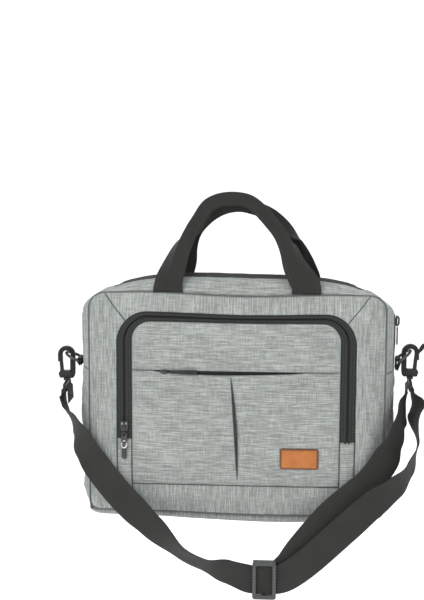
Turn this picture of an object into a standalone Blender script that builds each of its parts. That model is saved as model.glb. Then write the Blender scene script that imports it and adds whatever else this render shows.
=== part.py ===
"""Laptop messenger bag: padded body, arched front pocket, two webbing handles, shoulder strap.

Metres, Z up. The front of the bag faces -Y, its left is -X and its bottom rests at Z = 0.
"""
import math

import bmesh
import bpy
from mathutils import Matrix, Vector

# ---------------------------------------------------------------- shared dimensions
HALF_W = 0.194          # half of the bag width at the front seam
HALF_D = 0.040          # half of the bag depth at the seams
Z_BOT = 0.011           # bottom front seam
Z_TOP = 0.303           # top front seam
R_TOP = 0.022           # corner radius of the seam loop, top
R_BOT = 0.012           # corner radius of the seam loop, bottom
Z_SEAM = 0.200          # side seam between lower gusset and zip gusset
BULGE_SIDE = 0.013      # how far the side gusset stands out at mid depth
BULGE_TOP = 0.019       # how far the zip ridge stands above the top seam
SKIN = 0.0016           # outer fabric
TAPE_T = 0.0010         # zip tape
COIL_R = 0.0010         # zip coil
WEB = 0.038             # webbing width
WEB_T = 0.0014          # webbing thickness
GAP = 0.0005            # clearance between neighbouring panels

# Outline of the large panels, which stop a little inside the seam loop
INSET = 0.0012
PANEL_X = HALF_W - INSET
PANEL_BOT = Z_BOT + INSET
PANEL_TOP = Z_TOP - INSET
PANEL_R_TOP = R_TOP - INSET
PANEL_R_BOT = R_BOT - INSET

# Centres of the snap hooks' bends
HOOK_LEFT = (-0.2291, 0.0, 0.2205)
HOOK_RIGHT = (0.2273, 0.0, 0.2303)

# kind: (base colour), roughness, metallic
LOOKS = {
    "fabric": ((0.37, 0.40, 0.37), 0.9, 0.0),
    "webbing": ((0.045, 0.047, 0.045), 0.8, 0.0),
    "tape": ((0.035, 0.038, 0.035), 0.85, 0.0),
    "coil": ((0.02, 0.02, 0.02), 0.45, 0.0),
    "plastic": ((0.05, 0.05, 0.05), 0.45, 0.0),
    "metal": ((0.03, 0.03, 0.032), 0.35, 0.9),
    "leather": ((0.46, 0.17, 0.05), 0.55, 0.0),
    "lining": ((0.10, 0.105, 0.11), 0.8, 0.0),
    "foam": ((0.55, 0.55, 0.53), 0.95, 0.0),
    "board": ((0.15, 0.15, 0.15), 0.7, 0.0),
}

# ---------------------------------------------------------------- scene
for old in list(bpy.data.objects):
    bpy.data.objects.remove(old, do_unlink=True)


def new_collection(name):
    collection = bpy.data.collections.new(name)
    bpy.context.scene.collection.children.link(collection)
    return collection


BAG = new_collection("messenger_bag")
CUTTERS = new_collection("cutters")


# ---------------------------------------------------------------- object helpers
def make_look(name, kind):
    color, roughness, metallic = LOOKS[kind]
    material = bpy.data.materials.new(name)
    material.use_nodes = True
    inputs = material.node_tree.nodes["Principled BSDF"].inputs
    inputs["Base Color"].default_value = (*color, 1.0)
    inputs["Roughness"].default_value = roughness
    inputs["Metallic"].default_value = metallic
    return material


def add_object(name, mesh, kind, smooth=False, origin=(0, 0, 0), collection=BAG):
    """Object with its own material; the mesh is already relative to the origin."""
    ob = bpy.data.objects.new(name, mesh)
    collection.objects.link(ob)
    ob.location = origin
    mesh.materials.append(make_look(name + "_look", kind))
    for polygon in mesh.polygons:
        polygon.use_smooth = smooth
    return ob


def tidy_mesh(mesh, merge=False):
    """Turn all faces outwards, after merging coincident vertices if asked."""
    bm = bmesh.new()
    bm.from_mesh(mesh)
    if merge:
        bmesh.ops.remove_doubles(bm, verts=bm.verts, dist=1e-6)
    bmesh.ops.recalc_face_normals(bm, faces=bm.faces)
    bm.to_mesh(mesh)
    bm.free()


def add_solid(name, verts, faces, kind, smooth=False, origin=(0, 0, 0)):
    """Closed mesh from world coordinates."""
    mesh = bpy.data.meshes.new(name)
    mesh.from_pydata([tuple(Vector(v) - Vector(origin)) for v in verts], [], faces)
    tidy_mesh(mesh)
    return add_object(name, mesh, kind, smooth, origin)


def box(name, low, high, kind, bevel=0.0, origin=None, collection=BAG):
    """Block between two corners, its origin at the middle unless given."""
    centre = (Vector(low) + Vector(high)) / 2
    origin = centre if origin is None else Vector(origin)
    size = [b - a for a, b in zip(low, high)]
    bm = bmesh.new()
    bmesh.ops.create_cube(bm, size=1.0)
    for v in bm.verts:
        v.co = Vector([c * s for c, s in zip(v.co, size)]) + (centre - origin)
    mesh = bpy.data.meshes.new(name)
    bm.to_mesh(mesh)
    bm.free()
    ob = add_object(name, mesh, kind, bevel > 0, origin, collection)
    if bevel:
        edges = ob.modifiers.new("edges", "BEVEL")
        edges.width = bevel
        edges.segments = 1
        edges.limit_method = "ANGLE"
    return ob


def cut_box(target, name, low, high, modifier=None):
    """Subtract a hidden block from the target."""
    cutter = box(name, low, high, "plastic", collection=CUTTERS)
    cutter.hide_render = True
    cutter.display_type = "WIRE"
    cut = target.modifiers.new(modifier or name, "BOOLEAN")
    cut.object = cutter
    cut.operation = "DIFFERENCE"
    cut.solver = "EXACT"


def thicken(ob, thickness):
    """Give an open sheet thickness on its inner side."""
    skin = ob.modifiers.new("skin", "SOLIDIFY")
    skin.thickness = thickness
    skin.offset = -1.0
    return skin


def sheet(name, rows, kind, thickness, outward):
    """Thin panel from an open grid of points; its first quad faces the outward direction."""
    count, width = len(rows), len(rows[0])
    faces = [(i * width + j, i * width + j + 1, (i + 1) * width + j + 1, (i + 1) * width + j)
             for i in range(count - 1) for j in range(width - 1)]
    corner = Vector(rows[0][0])
    normal = (Vector(rows[0][1]) - corner).cross(Vector(rows[1][0]) - corner)
    if normal.dot(Vector(outward)) < 0:
        faces = [face[::-1] for face in faces]
    mesh = bpy.data.meshes.new(name)
    mesh.from_pydata([tuple(p) for row in rows for p in row], [], faces)
    thicken(add_object(name, mesh, kind, smooth=True), thickness)


def curve_mesh(name, points, cyclic, settings, transform=None):
    """Mesh of a polyline curve with the given curve settings."""
    curve = bpy.data.curves.new(name, "CURVE")
    for key, value in settings.items():
        setattr(curve, key, value)
    spline = curve.splines.new("POLY")
    spline.points.add(len(points) - 1)
    for target, point in zip(spline.points, points):
        target.co = (*point, 1.0)
    spline.use_cyclic_u = cyclic
    path = bpy.data.objects.new(name + "_path", curve)
    bpy.context.scene.collection.objects.link(path)
    bpy.context.view_layer.update()
    evaluated = path.evaluated_get(bpy.context.evaluated_depsgraph_get())
    mesh = bpy.data.meshes.new_from_object(evaluated)
    bpy.data.objects.remove(path, do_unlink=True)
    if transform is not None:
        mesh.transform(transform)
    tidy_mesh(mesh, merge=True)
    mesh.name = name
    return mesh


def tube(name, points, radius, kind, cyclic=False, resolution=1, origin=(0, 0, 0)):
    """Round wire along a polyline."""
    settings = {"dimensions": "3D", "bevel_depth": radius, "bevel_resolution": resolution,
                "use_fill_caps": not cyclic}
    local = [Vector(p) - Vector(origin) for p in points]
    add_object(name, curve_mesh(name, local, cyclic, settings), kind, True, origin)


def prism(name, near, far, kind, origin):
    """Solid between two matching outlines."""
    n = len(near)
    faces = [tuple(range(n)), tuple(range(2 * n - 1, n - 1, -1))]
    faces += [(i, (i + 1) % n, n + (i + 1) % n, n + i) for i in range(n)]
    return add_solid(name, near + far, faces, kind, origin=origin)


def loft_faces(count):
    """Faces of a solid lofted through four-cornered sections, four vertices to each."""
    faces = []
    for i in range(count - 1):
        for k in range(4):
            a, b = i * 4 + k, i * 4 + (k + 1) % 4
            faces.append((a, b, b + 4, a + 4))
    return faces + [(3, 2, 1, 0), tuple((count - 1) * 4 + k for k in range(4))]


def tangent_at(points, i):
    return (points[min(i + 1, len(points) - 1)] - points[max(i - 1, 0)]).normalized()


def strip(name, path, across, widths, thicknesses):
    """Webbing along a path; each station has its own width direction, width and thickness."""
    path = [Vector(p) for p in path]
    verts = []
    for i, point in enumerate(path):
        tangent = tangent_at(path, i)
        side = Vector(across[i])
        side = (side - tangent * side.dot(tangent)).normalized()
        normal = tangent.cross(side)
        for a, b in ((-1, -1), (1, -1), (1, 1), (-1, 1)):
            verts.append(point + side * (widths[i] / 2) * a + normal * (thicknesses[i] / 2) * b)
    add_solid(name, verts, loft_faces(len(path)), "webbing", smooth=True)


def flat_strip(name, path, across, width=WEB):
    """Webbing of constant width and thickness."""
    strip(name, path, across, [width] * len(path), [WEB_T] * len(path))


# ---------------------------------------------------------------- outline helpers, 2-D points
def between(a, b, f):
    return tuple(p + (q - p) * f for p, q in zip(a, b))


def line(start, end, steps):
    return [between(start, end, i / steps) for i in range(steps + 1)]


def arc(centre, radius, start, end, steps):
    """Arc between two angles in degrees."""
    angles = [math.radians(start + (end - start) * i / steps) for i in range(steps + 1)]
    return [(centre[0] + radius * math.cos(a), centre[1] + radius * math.sin(a)) for a in angles]


def chain(*parts):
    """Join point lists, dropping repeated points."""
    out = []
    for part in parts:
        for point in part:
            if not out or math.dist(out[-1], point) > 1e-6:
                out.append(point)
    return out


def mirrored(outline):
    return [(-x, z) for x, z in outline]


def resample(path, steps):
    """Points at equal distances along a path."""
    reach = [0.0]
    for a, b in zip(path, path[1:]):
        reach.append(reach[-1] + math.dist(a, b))
    out = []
    for i in range(steps + 1):
        s = reach[-1] * i / steps
        k = max(j for j in range(len(reach)) if reach[j] <= s + 1e-12)
        if k == len(reach) - 1:
            out.append(path[-1])
        else:
            out.append(between(path[k], path[k + 1], (s - reach[k]) / (reach[k + 1] - reach[k])))
    return out


def rounded_outline(half_x, bottom, top, r_bottom, r_top, steps_bottom, steps_top):
    """Closed rounded rectangle in the X-Z plane."""
    x_low, z_low = half_x - r_bottom, bottom + r_bottom
    x_high, z_high = half_x - r_top, top - r_top
    return chain(arc((-x_low, z_low), r_bottom, 270, 180, steps_bottom),
                 arc((-x_high, z_high), r_top, 180, 90, steps_top),
                 arc((x_high, z_high), r_top, 90, 0, steps_top),
                 arc((x_low, z_low), r_bottom, 0, -90, steps_bottom))


# ---------------------------------------------------------------- front pocket surface
POCKET_RISE = 0.017     # how far the pocket zip stands in front of the seam plane
POCKET_DOME = 0.007     # further bulge in the middle of the pocket
RISE_EDGE = 0.001       # the rise starts this far inside the side seams
RISE_SIDE = 0.0385      # distance over which the surface rises, from the sides,
RISE_TOP = 0.024        # from the top seam
RISE_BOTTOM = 0.041     # and from the bottom seam
RISE_BLEND = 6.0        # sharpness of the blend between those three
RISE_POWER = 0.9
DOME_FALLOFF = 1.2


def pocket_y(x, z):
    """Y of the front surface: rises from the seam loop to the pocket zip, then domes."""
    side = (HALF_W - RISE_EDGE - abs(x)) / RISE_SIDE
    top = (Z_TOP - z) / RISE_TOP
    bottom = (z - Z_BOT) / RISE_BOTTOM
    # soft minimum of the three distances
    t = -math.log(sum(math.exp(-RISE_BLEND * d) for d in (side, top, bottom))) / RISE_BLEND
    t = max(t, 0.0)
    rise = POCKET_RISE * math.sin(math.pi / 2 * min(t, 1.0)) ** RISE_POWER
    dome = POCKET_DOME * (1 - math.exp(-(t - 1) / DOME_FALLOFF)) if t > 1 else 0.0
    return -HALF_D - rise - dome


def ruled_panel(name, outer, inner, steps, kind="fabric", thickness=SKIN, lift=0.0):
    """Panel on the pocket surface, ruled between two outlines with matching points."""
    rows = []
    for a, b in zip(outer, inner):
        row = [between(a, b, k / steps) for k in range(steps + 1)]
        rows.append([(x, pocket_y(x, z) - lift, z) for x, z in row])
    sheet(name, rows, kind, thickness, outward=(0, -1, 0))


def front_panel(name, outer, inner, steps_along, steps_across, *args, **kwargs):
    """Ruled panel between two outlines, each divided evenly."""
    ruled_panel(name, resample(outer, steps_along), resample(inner, steps_along),
                steps_across, *args, **kwargs)


def wide_panel(name, half_x, bottom, top, *args, **kwargs):
    """Panel across the middle of the pocket between two heights."""
    front_panel(name, [(-half_x, bottom), (half_x, bottom)], [(-half_x, top), (half_x, top)],
                *args, **kwargs)


# ---------------------------------------------------------------- front pocket pieces
# Arches of the pocket zip: half width, top, corner radius
ZIP_OUTER = (0.1545, 0.279, 0.040)
ZIP_MIDDLE = (0.1447, 0.2736, 0.032)
ZIP_INNER = (0.1349, 0.268, 0.024)
ZIP_END = 0.1129        # lower end of the pocket zip
ZIP_HALF_GAP = 0.0003   # from the middle arch to either tape
ZIP_COIL_OFFSET = 0.0016
ZIP_COIL_DEPTH = 0.0025  # coil axis behind the pocket surface
SLOT = 0.0014           # room between the frame strips and the zip tape
FOLD = 0.138            # line about which the pocket door folds
FOLD_GAP = 0.0006       # from the fold to either panel
POCKET_SEAM = 0.052     # seam at the bottom of the pocket panel
POCKET_PANEL_X = 0.1341
POCKET_PANEL_R = 0.0232
POCKET_PANEL_ARC_Z = 0.244
FRAME_BOTTOM_X = 0.1342
END_STRIP_X = 0.1543    # outer edge of the strips below the zip ends
WELT_Z = 0.2035         # zipped welt across the pocket panel
WELT_OPENING = 0.0022   # half height of the opening
WELT_TAPE = 0.0017      # half height of the tape
LEATHER_T = 0.0016


def build_pocket_frame():
    """Strips around the pocket zip, mitred at the upper corners."""
    half_x, top, radius = ZIP_OUTER
    slot_centre = (-half_x + radius, top - radius)
    slot_r = radius + SLOT
    side_outer = chain(
        arc((-PANEL_X + PANEL_R_BOT, PANEL_BOT + PANEL_R_BOT), PANEL_R_BOT, 270, 180, 4),
        arc((-PANEL_X + PANEL_R_TOP, PANEL_TOP - PANEL_R_TOP), PANEL_R_TOP, 180, 90, 6),
        [(-0.1725, PANEL_TOP)])
    side_inner = chain([(-half_x - SLOT, PANEL_BOT)], arc(slot_centre, slot_r, 180, 136, 5))
    front_panel("pocket_frame_left", side_outer, side_inner, 20, 5)
    front_panel("pocket_frame_right", mirrored(side_outer), mirrored(side_inner), 20, 5)

    top_left = arc(slot_centre, slot_r, 134, 90, 4)
    top_right = arc((-slot_centre[0], slot_centre[1]), slot_r, 90, 46, 4)
    front_panel("pocket_frame_top", [(-0.1713, PANEL_TOP), (0.1713, PANEL_TOP)],
                chain(top_left, top_right), 22, 3)
    wide_panel("pocket_frame_bottom", FRAME_BOTTOM_X, PANEL_BOT, POCKET_SEAM - GAP, 12, 3)
    for side, tag in ((-1, "left"), (1, "right")):
        outer_x, inner_x = side * END_STRIP_X, side * ZIP_INNER[0]
        front_panel("zip_end_strip_" + tag,
                    [(outer_x, PANEL_BOT), (outer_x, ZIP_END - GAP)],
                    [(inner_x, PANEL_BOT), (inner_x, ZIP_END - GAP)], 8, 2)


def build_pocket_panel():
    """Panel inside the zip, in three parts split by the fold and the zipped welt."""
    half_x = POCKET_PANEL_X
    wide_panel("pocket_panel_lower", half_x, POCKET_SEAM + GAP, FOLD - FOLD_GAP, 14, 5)
    wide_panel("pocket_panel_middle", half_x, FOLD + FOLD_GAP, WELT_Z - WELT_OPENING, 14, 4)
    left = chain([(-half_x, WELT_Z + WELT_OPENING)],
                 arc((-half_x + POCKET_PANEL_R, POCKET_PANEL_ARC_Z), POCKET_PANEL_R, 180, 100, 4))
    front_panel("pocket_panel_upper", left, mirrored(left), 8, 12)
    wide_panel("welt_zip", half_x, WELT_Z - WELT_TAPE, WELT_Z + WELT_TAPE, 14, 1,
               "tape", 0.0012, lift=-0.0008)


def zip_arch(edge, grow=0.0):
    """Inverted U from just above the fold, moved outwards by grow at the same radius."""
    half_x, top, radius = edge
    half_x, top = half_x + grow, top + grow
    base = FOLD + FOLD_GAP
    x, z = half_x - radius, top - radius
    return chain(line((-half_x, base), (-half_x, z), 6), arc((-x, z), radius, 180, 90, 6),
                 line((-x, top), (x, top), 8), arc((x, z), radius, 90, 0, 6),
                 line((half_x, z), (half_x, base), 6))


def build_pocket_zip():
    ruled_panel("pocket_zip_tape_outer", zip_arch(ZIP_OUTER), zip_arch(ZIP_MIDDLE, ZIP_HALF_GAP),
                2, "tape", TAPE_T)
    ruled_panel("pocket_zip_tape_inner", zip_arch(ZIP_MIDDLE, -ZIP_HALF_GAP), zip_arch(ZIP_INNER),
                2, "tape", TAPE_T)
    for side, tag in ((-1, "left"), (1, "right")):
        outer_x, inner_x = side * ZIP_OUTER[0], side * ZIP_INNER[0]
        front_panel("pocket_zip_end_" + tag, [(outer_x, ZIP_END), (outer_x, FOLD - FOLD_GAP)],
                    [(inner_x, ZIP_END), (inner_x, FOLD - FOLD_GAP)], 3, 2, "tape", TAPE_T)
    for tag, grow in (("outer", ZIP_COIL_OFFSET), ("inner", -ZIP_COIL_OFFSET)):
        points = [(x, pocket_y(x, z) + ZIP_COIL_DEPTH, z) for x, z in zip_arch(ZIP_MIDDLE, grow)]
        tube("pocket_zip_coil_" + tag, points, COIL_R, "coil")


def build_leather_patch():
    """Patch low on the right of the pocket panel."""
    front_panel("leather_patch", [(0.058, 0.0775), (0.108, 0.0775)],
                [(0.058, 0.1055), (0.108, 0.1055)], 6, 3, "leather", LEATHER_T,
                lift=LEATHER_T + GAP)


# ---------------------------------------------------------------- flat body panels
# name, half width, bottom, top, bottom radius, top radius, front y, back y, kind
BODY_PLATES = [
    ("front_body_panel", 0.1915, 0.0150, 0.3012, 0.010, 0.020, -0.0379, -0.0367, "lining"),
    ("front_foam_pad", 0.1870, 0.0180, 0.2900, 0.008, 0.018, -0.0363, -0.0323, "foam"),
    ("rear_body_panel", PANEL_X, PANEL_BOT, PANEL_TOP, PANEL_R_BOT, PANEL_R_TOP,
     HALF_D - SKIN, HALF_D, "fabric"),
    ("rear_foam_pad", 0.1870, 0.0180, 0.2900, 0.008, 0.018, 0.0320, 0.0378, "foam"),
    ("laptop_divider", 0.1700, 0.0080, 0.2350, 0.004, 0.015, 0.0040, 0.0090, "lining"),
]


def rounded_plate(name, half_x, bottom, top, r_bottom, r_top, y_front, y_back, kind):
    """Filled rounded outline with depth along Y."""
    outline = rounded_outline(half_x, bottom, top, r_bottom, r_top, 3, 4)
    settings = {"dimensions": "2D", "fill_mode": "BOTH", "extrude": (y_back - y_front) / 2}
    upright = (Matrix.Translation((0, (y_front + y_back) / 2, 0))
               @ Matrix.Rotation(math.radians(90), 4, "X"))
    mesh = curve_mesh(name, [(x, z, 0) for x, z in outline], True, settings, upright)
    add_object(name, mesh, kind)


# ---------------------------------------------------------------- gussets, main zip, bindings
GUSSET_Y = 0.0380           # gussets stop here, short of the seams
ZIP_GUSSET_Y = 0.0145       # inner edge of the zip gussets
MAIN_TAPE_OUTER_Y = 0.0140
MAIN_TAPE_INNER_Y = 0.0003
MAIN_COIL_Y = 0.0017
MAIN_COIL_DEPTH = 0.0028    # coil axis below the crest of the gusset
GUSSET_POWER = 1.8          # fullness of the gusset across the depth
RIDGE_POWER = 0.7           # fullness of the top ridge across the width
SEAM_GAP = 0.001            # from the side seam to the gusset on either side
SIDE_GUSSET_BOTTOM = 0.0130
SIDE_FADE_Z = 0.005         # the side bulge grows from this height
SIDE_FADE_LENGTH = 0.03     # to full over this length
BINDING_R = 0.0011
BINDING_OFFSET = 0.0007     # binding axis outside the seam loop
BINDING_Y = {"front": -0.0397, "rear": 0.0400}


def gusset_out(y, bulge):
    """Stand-off of the gusset from the seam loop at depth y."""
    return bulge * (1 - (abs(y) / HALF_D) ** GUSSET_POWER)


def loop_stations():
    """(point, outward normal, bulge) from the left side seam over the top to the right."""
    corner_x, corner_z = -HALF_W + R_TOP, Z_TOP - R_TOP
    left = [(point, (-1, 0), BULGE_SIDE)
            for point in line((-HALF_W, Z_SEAM + SEAM_GAP), (-HALF_W, corner_z), 4)]
    for i in range(1, 5):
        a = math.radians(180 - 90 * i / 5)
        normal = (math.cos(a), math.sin(a))
        point = (corner_x + R_TOP * normal[0], corner_z + R_TOP * normal[1])
        left.append((point, normal, BULGE_SIDE))
    top = []
    steps = 14
    for i in range(steps + 1):
        x = corner_x * (1 - 2 * i / steps)
        crown = max(0.0, 1 - (x / corner_x) ** 2) ** RIDGE_POWER
        top.append(((x, Z_TOP), (0, 1), BULGE_SIDE + (BULGE_TOP - BULGE_SIDE) * crown))
    right = [((-p[0], p[1]), (-n[0], n[1]), bulge) for p, n, bulge in reversed(left)]
    return left + top + right


def zip_gusset(name, y_from, y_to, kind, thickness, steps):
    """Sheet over the sides and top between two depths."""
    rows = []
    for point, normal, bulge in loop_stations():
        row = []
        for k in range(steps + 1):
            y = y_from + (y_to - y_from) * k / steps
            out = gusset_out(y, bulge)
            row.append((point[0] + normal[0] * out, y, point[1] + normal[1] * out))
        rows.append(row)
    # the first quad lies on the left side
    sheet(name, rows, kind, thickness, outward=(-1, 0, 0))


def build_main_zip():
    zip_gusset("front_zip_gusset", -GUSSET_Y, -ZIP_GUSSET_Y, "fabric", SKIN, 4)
    zip_gusset("rear_zip_gusset", ZIP_GUSSET_Y, GUSSET_Y, "fabric", SKIN, 4)
    zip_gusset("main_zip_tape_front", -MAIN_TAPE_OUTER_Y, -MAIN_TAPE_INNER_Y, "tape", TAPE_T, 3)
    zip_gusset("main_zip_tape_rear", MAIN_TAPE_INNER_Y, MAIN_TAPE_OUTER_Y, "tape", TAPE_T, 3)
    for tag, y in (("front", -MAIN_COIL_Y), ("rear", MAIN_COIL_Y)):
        points = []
        for point, normal, bulge in loop_stations():
            out = bulge - MAIN_COIL_DEPTH
            points.append((point[0] + normal[0] * out, y, point[1] + normal[1] * out))
        tube("main_zip_coil_" + tag, points, COIL_R, "coil")


def build_side_gussets():
    for side, tag in ((-1, "left"), (1, "right")):
        rows = []
        for i in range(9):
            z = SIDE_GUSSET_BOTTOM + (Z_SEAM - SEAM_GAP - SIDE_GUSSET_BOTTOM) * i / 8
            fade = min(1.0, (z - SIDE_FADE_Z) / SIDE_FADE_LENGTH)
            row = []
            for k in range(9):
                y = -GUSSET_Y + 2 * GUSSET_Y * k / 8
                row.append((side * (HALF_W + gusset_out(y, BULGE_SIDE) * fade), y, z))
            rows.append(row)
        sheet("side_gusset_" + tag, rows, "fabric", SKIN, outward=(side, 0, 0))


def build_edge_bindings():
    """Round cords along the front and rear seam loops."""
    off = BINDING_OFFSET
    outline = rounded_outline(HALF_W + off, Z_BOT - off, Z_TOP + off, R_BOT + off, R_TOP + off,
                              4, 6)
    for tag, y in BINDING_Y.items():
        tube("edge_binding_" + tag, [(x, y, z) for x, z in outline], BINDING_R, "tape",
             cyclic=True)


# ---------------------------------------------------------------- base and lining
def tray(name, top, floor, kind, thickness):
    """Open tray; top and floor are (half width, half depth, z)."""
    corners = ((-1, -1), (1, -1), (1, 1), (-1, 1))
    verts = [(sx * half_x, sy * half_y, z)
             for half_x, half_y, z in (top, floor) for sx, sy in corners]
    faces = [(4, 7, 6, 5), (0, 4, 5, 1), (1, 5, 6, 2), (2, 6, 7, 3), (3, 7, 4, 0)]
    mesh = bpy.data.meshes.new(name)
    mesh.from_pydata(verts, [], faces)
    bm = bmesh.new()
    bm.from_mesh(mesh)
    for face in bm.faces:
        # face away from the middle of the opening
        face.normal_update()
        if face.normal.dot(face.calc_center_median() - Vector((0, 0, top[2]))) < 0:
            face.normal_flip()
    bm.to_mesh(mesh)
    bm.free()
    thicken(add_object(name, mesh, kind), thickness).use_even_offset = True


def build_base_and_lining():
    tray("base_panel", (0.1925, 0.0378, PANEL_BOT), (0.1750, 0.0280, 0.0), "fabric", SKIN)
    box("base_board", (-0.1730, -0.0262, 0.0021), (0.1730, 0.0262, 0.0043), "board")
    tray("main_lining", (0.1860, 0.0316, 0.2880), (0.1720, 0.0258, 0.0048), "lining", 0.0007)


# ---------------------------------------------------------------- side tabs and D-rings
RING_DEPTH = 0.020      # straight bar to apex
RING_R = 0.0019         # wire radius
RING_HALF = 0.0150      # half length of the straight bar
RING_BOW = 0.0125       # reach of the rounded part along the ring's direction
TAB_WIDTH = 0.025
TAB_CLEARANCE = 0.0004  # between tab and ring bar
TAB_LEG = 0.0012        # half spacing of the tab's two ends
TAB_X = 0.2096          # where the tab leaves the side seam
TAB_Z = Z_SEAM + 0.0014

# tag, side, middle of the straight bar, elevation of the ring in degrees
RINGS = [
    ("left", -1, (-0.2110, 0, 0.2060), 25.0),
    ("right", 1, (0.2115, 0, 0.2120), 38.0),
]


def build_ring(tag, side, centre, elevation):
    """D-ring and the webbing tab folded round its straight bar."""
    bar = Vector(centre)
    base = Vector((side * TAB_X, 0, TAB_Z))
    along = (bar - base).normalized()
    across = Vector((along.z, 0, -along.x)) * side
    radius = RING_R + TAB_CLEARANCE + WEB_T / 2
    tab = [base - across * TAB_LEG]
    for i in range(7):
        a = math.radians(180 - 30 * i)
        tab.append(bar + (across * math.cos(a) + along * math.sin(a)) * radius)
    tab.append(base + across * TAB_LEG)
    flat_strip("side_tab_" + tag, tab, [(0, 1, 0)] * len(tab), TAB_WIDTH)

    angle = math.radians(elevation)
    out = Vector((side * math.cos(angle), 0, math.sin(angle)))
    ring = [bar + Vector((0, -RING_HALF, 0)), bar + Vector((0, RING_HALF, 0))]
    for i in range(9):
        a = math.radians(90 - 180 * i / 8)
        reach = RING_DEPTH - RING_BOW + RING_BOW * math.cos(a)
        ring.append(bar + Vector((0, RING_HALF * math.sin(a), 0)) + out * reach)
    tube("d_ring_" + tag, ring, RING_R, "metal", cyclic=True, resolution=2, origin=tuple(bar))


# ---------------------------------------------------------------- swivel snap hooks
# Heights are relative to the hook centre.
HOOK_HALF_T = 0.0030
HOOK_BEND_Z = -0.0085
GATE_GAP = 0.0004
GATE_T = 0.0016
GATE_PIVOT = (0.0085, -0.0120)  # x outwards, z
BASE_TOP = -0.0404
BASE_SHOULDER = BASE_TOP - 0.0040
BASE_BOTTOM = BASE_TOP - 0.0165
BASE_HALF_T = 0.0019
BASE_BAR = 0.0036               # height of the bar the webbing turns round
BAR_Z = BASE_BOTTOM + BASE_BAR / 2

# (x outwards, z)
HOOK_OUTLINE = (
    [(0.0115, -0.0165)]
    + arc((0, HOOK_BEND_Z), 0.0115, 0, 180, 10)
    + [(-0.0115, -0.0330), (-0.0095, -0.0400), (0.0095, -0.0400), (0.0110, -0.0340),
       (0.0085, -0.0310), (-0.0035, -0.0310), (-0.0055, -0.0290)]
    + arc((0, HOOK_BEND_Z), 0.0055, 180, 0, 8)
    + [(0.0055, -0.0165)]
)
GATE_FOOT = [(0.0046, -0.0305), (0.0076, -0.0305), (0.0086, -0.0140)]
GATE_LEVERS = {
    "left": [(0.0098, -0.0105), (0.0104, -0.0068), (0.0092, -0.0052), (0.0066, -0.0052),
             (0.0056, -0.0080)],
    "right": [(0.0100, -0.0100), (0.0165, -0.0035), (0.0192, 0.0020), (0.0172, 0.0045),
              (0.0138, 0.0030), (0.0090, -0.0055), (0.0060, -0.0090)],
}
GATE_CLOSE = [(0.0050, -0.0130)]
# (y, z)
BASE_OUTLINE = [
    (-0.0055, BASE_TOP), (0.0055, BASE_TOP), (0.0075, BASE_SHOULDER), (0.0218, BASE_SHOULDER),
    (0.0232, BASE_SHOULDER - 0.003), (0.0225, BASE_BOTTOM), (-0.0225, BASE_BOTTOM),
    (-0.0232, BASE_SHOULDER - 0.003), (-0.0218, BASE_SHOULDER), (-0.0075, BASE_SHOULDER),
]


def hook_part(name, outline, y_front, y_back, hook, side, origin):
    """Flat part whose outline is relative to the hook centre, with depth along Y."""
    near, far = [[(hook[0] + side * x, hook[1] + y, hook[2] + z) for x, z in outline]
                 for y in (y_front, y_back)]
    return prism(name, near, far, "plastic", origin)


def build_hook(tag, hook, side):
    x, y, z = hook
    body = hook_part("hook_" + tag, HOOK_OUTLINE, -HOOK_HALF_T, HOOK_HALF_T, hook, side, hook)
    edges = body.modifiers.new("edges", "BEVEL")
    edges.width = 0.0009
    edges.segments = 1
    edges.limit_method = "ANGLE"
    edges.angle_limit = math.radians(50)

    gate_back = -HOOK_HALF_T - GATE_GAP
    hook_part("hook_gate_" + tag, GATE_FOOT + GATE_LEVERS[tag] + GATE_CLOSE,
              gate_back - GATE_T, gate_back, hook, side,
              (x + side * GATE_PIVOT[0], y, z + GATE_PIVOT[1]))

    # stem and slotted frame for the webbing, turned a quarter round from the hook
    near, far = [[(x + dx, y + dy, z + dz) for dy, dz in BASE_OUTLINE]
                 for dx in (-BASE_HALF_T, BASE_HALF_T)]
    base = prism("hook_base_" + tag, near, far, "plastic", hook)
    cut_box(base, "slot_cutter_" + tag,
            (x - 0.01, -0.0198, z + BASE_BOTTOM + BASE_BAR),
            (x + 0.01, 0.0198, z + BASE_SHOULDER - 0.0030), modifier="slot")


# ---------------------------------------------------------------- shoulder strap
LOOP_R = 0.0043                            # radius of the turn round a hook's bar
ADJUSTER = Vector((0.0400, -0.0812, -0.0665))  # middle of the strap adjuster


def smooth_path(stations, step):
    """Catmull-Rom path through (point, width direction) stations."""
    controls = [Vector(s[0]) for s in stations]
    across = [Vector(s[1]).normalized() for s in stations]
    points, directions = [], []
    for i in range(len(controls) - 1):
        p0, p1 = controls[max(i - 1, 0)], controls[i]
        p2, p3 = controls[i + 1], controls[min(i + 2, len(controls) - 1)]
        count = max(1, int(round((p2 - p1).length / step)))
        for k in range(count):
            t = k / count
            points.append(0.5 * ((2 * p1) + (p2 - p0) * t
                                 + (2 * p0 - 5 * p1 + 4 * p2 - p3) * t * t
                                 + (3 * p1 - p0 - 3 * p2 + p3) * t ** 3))
            blend = t * t * (3 - 2 * t)
            directions.append(across[i].lerp(across[i + 1], blend).normalized())
    points.append(controls[-1])
    directions.append(across[-1])
    return points, directions


def bar_turn(x, z):
    """Half turn over a hook's bar, from its -X side to its +X side."""
    angles = [math.pi * i / 6 for i in range(7)]
    return [((x - LOOP_R * math.cos(a), 0.0, z + LOOP_R * math.sin(a)), (0, -1, 0))
            for a in angles]


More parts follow.
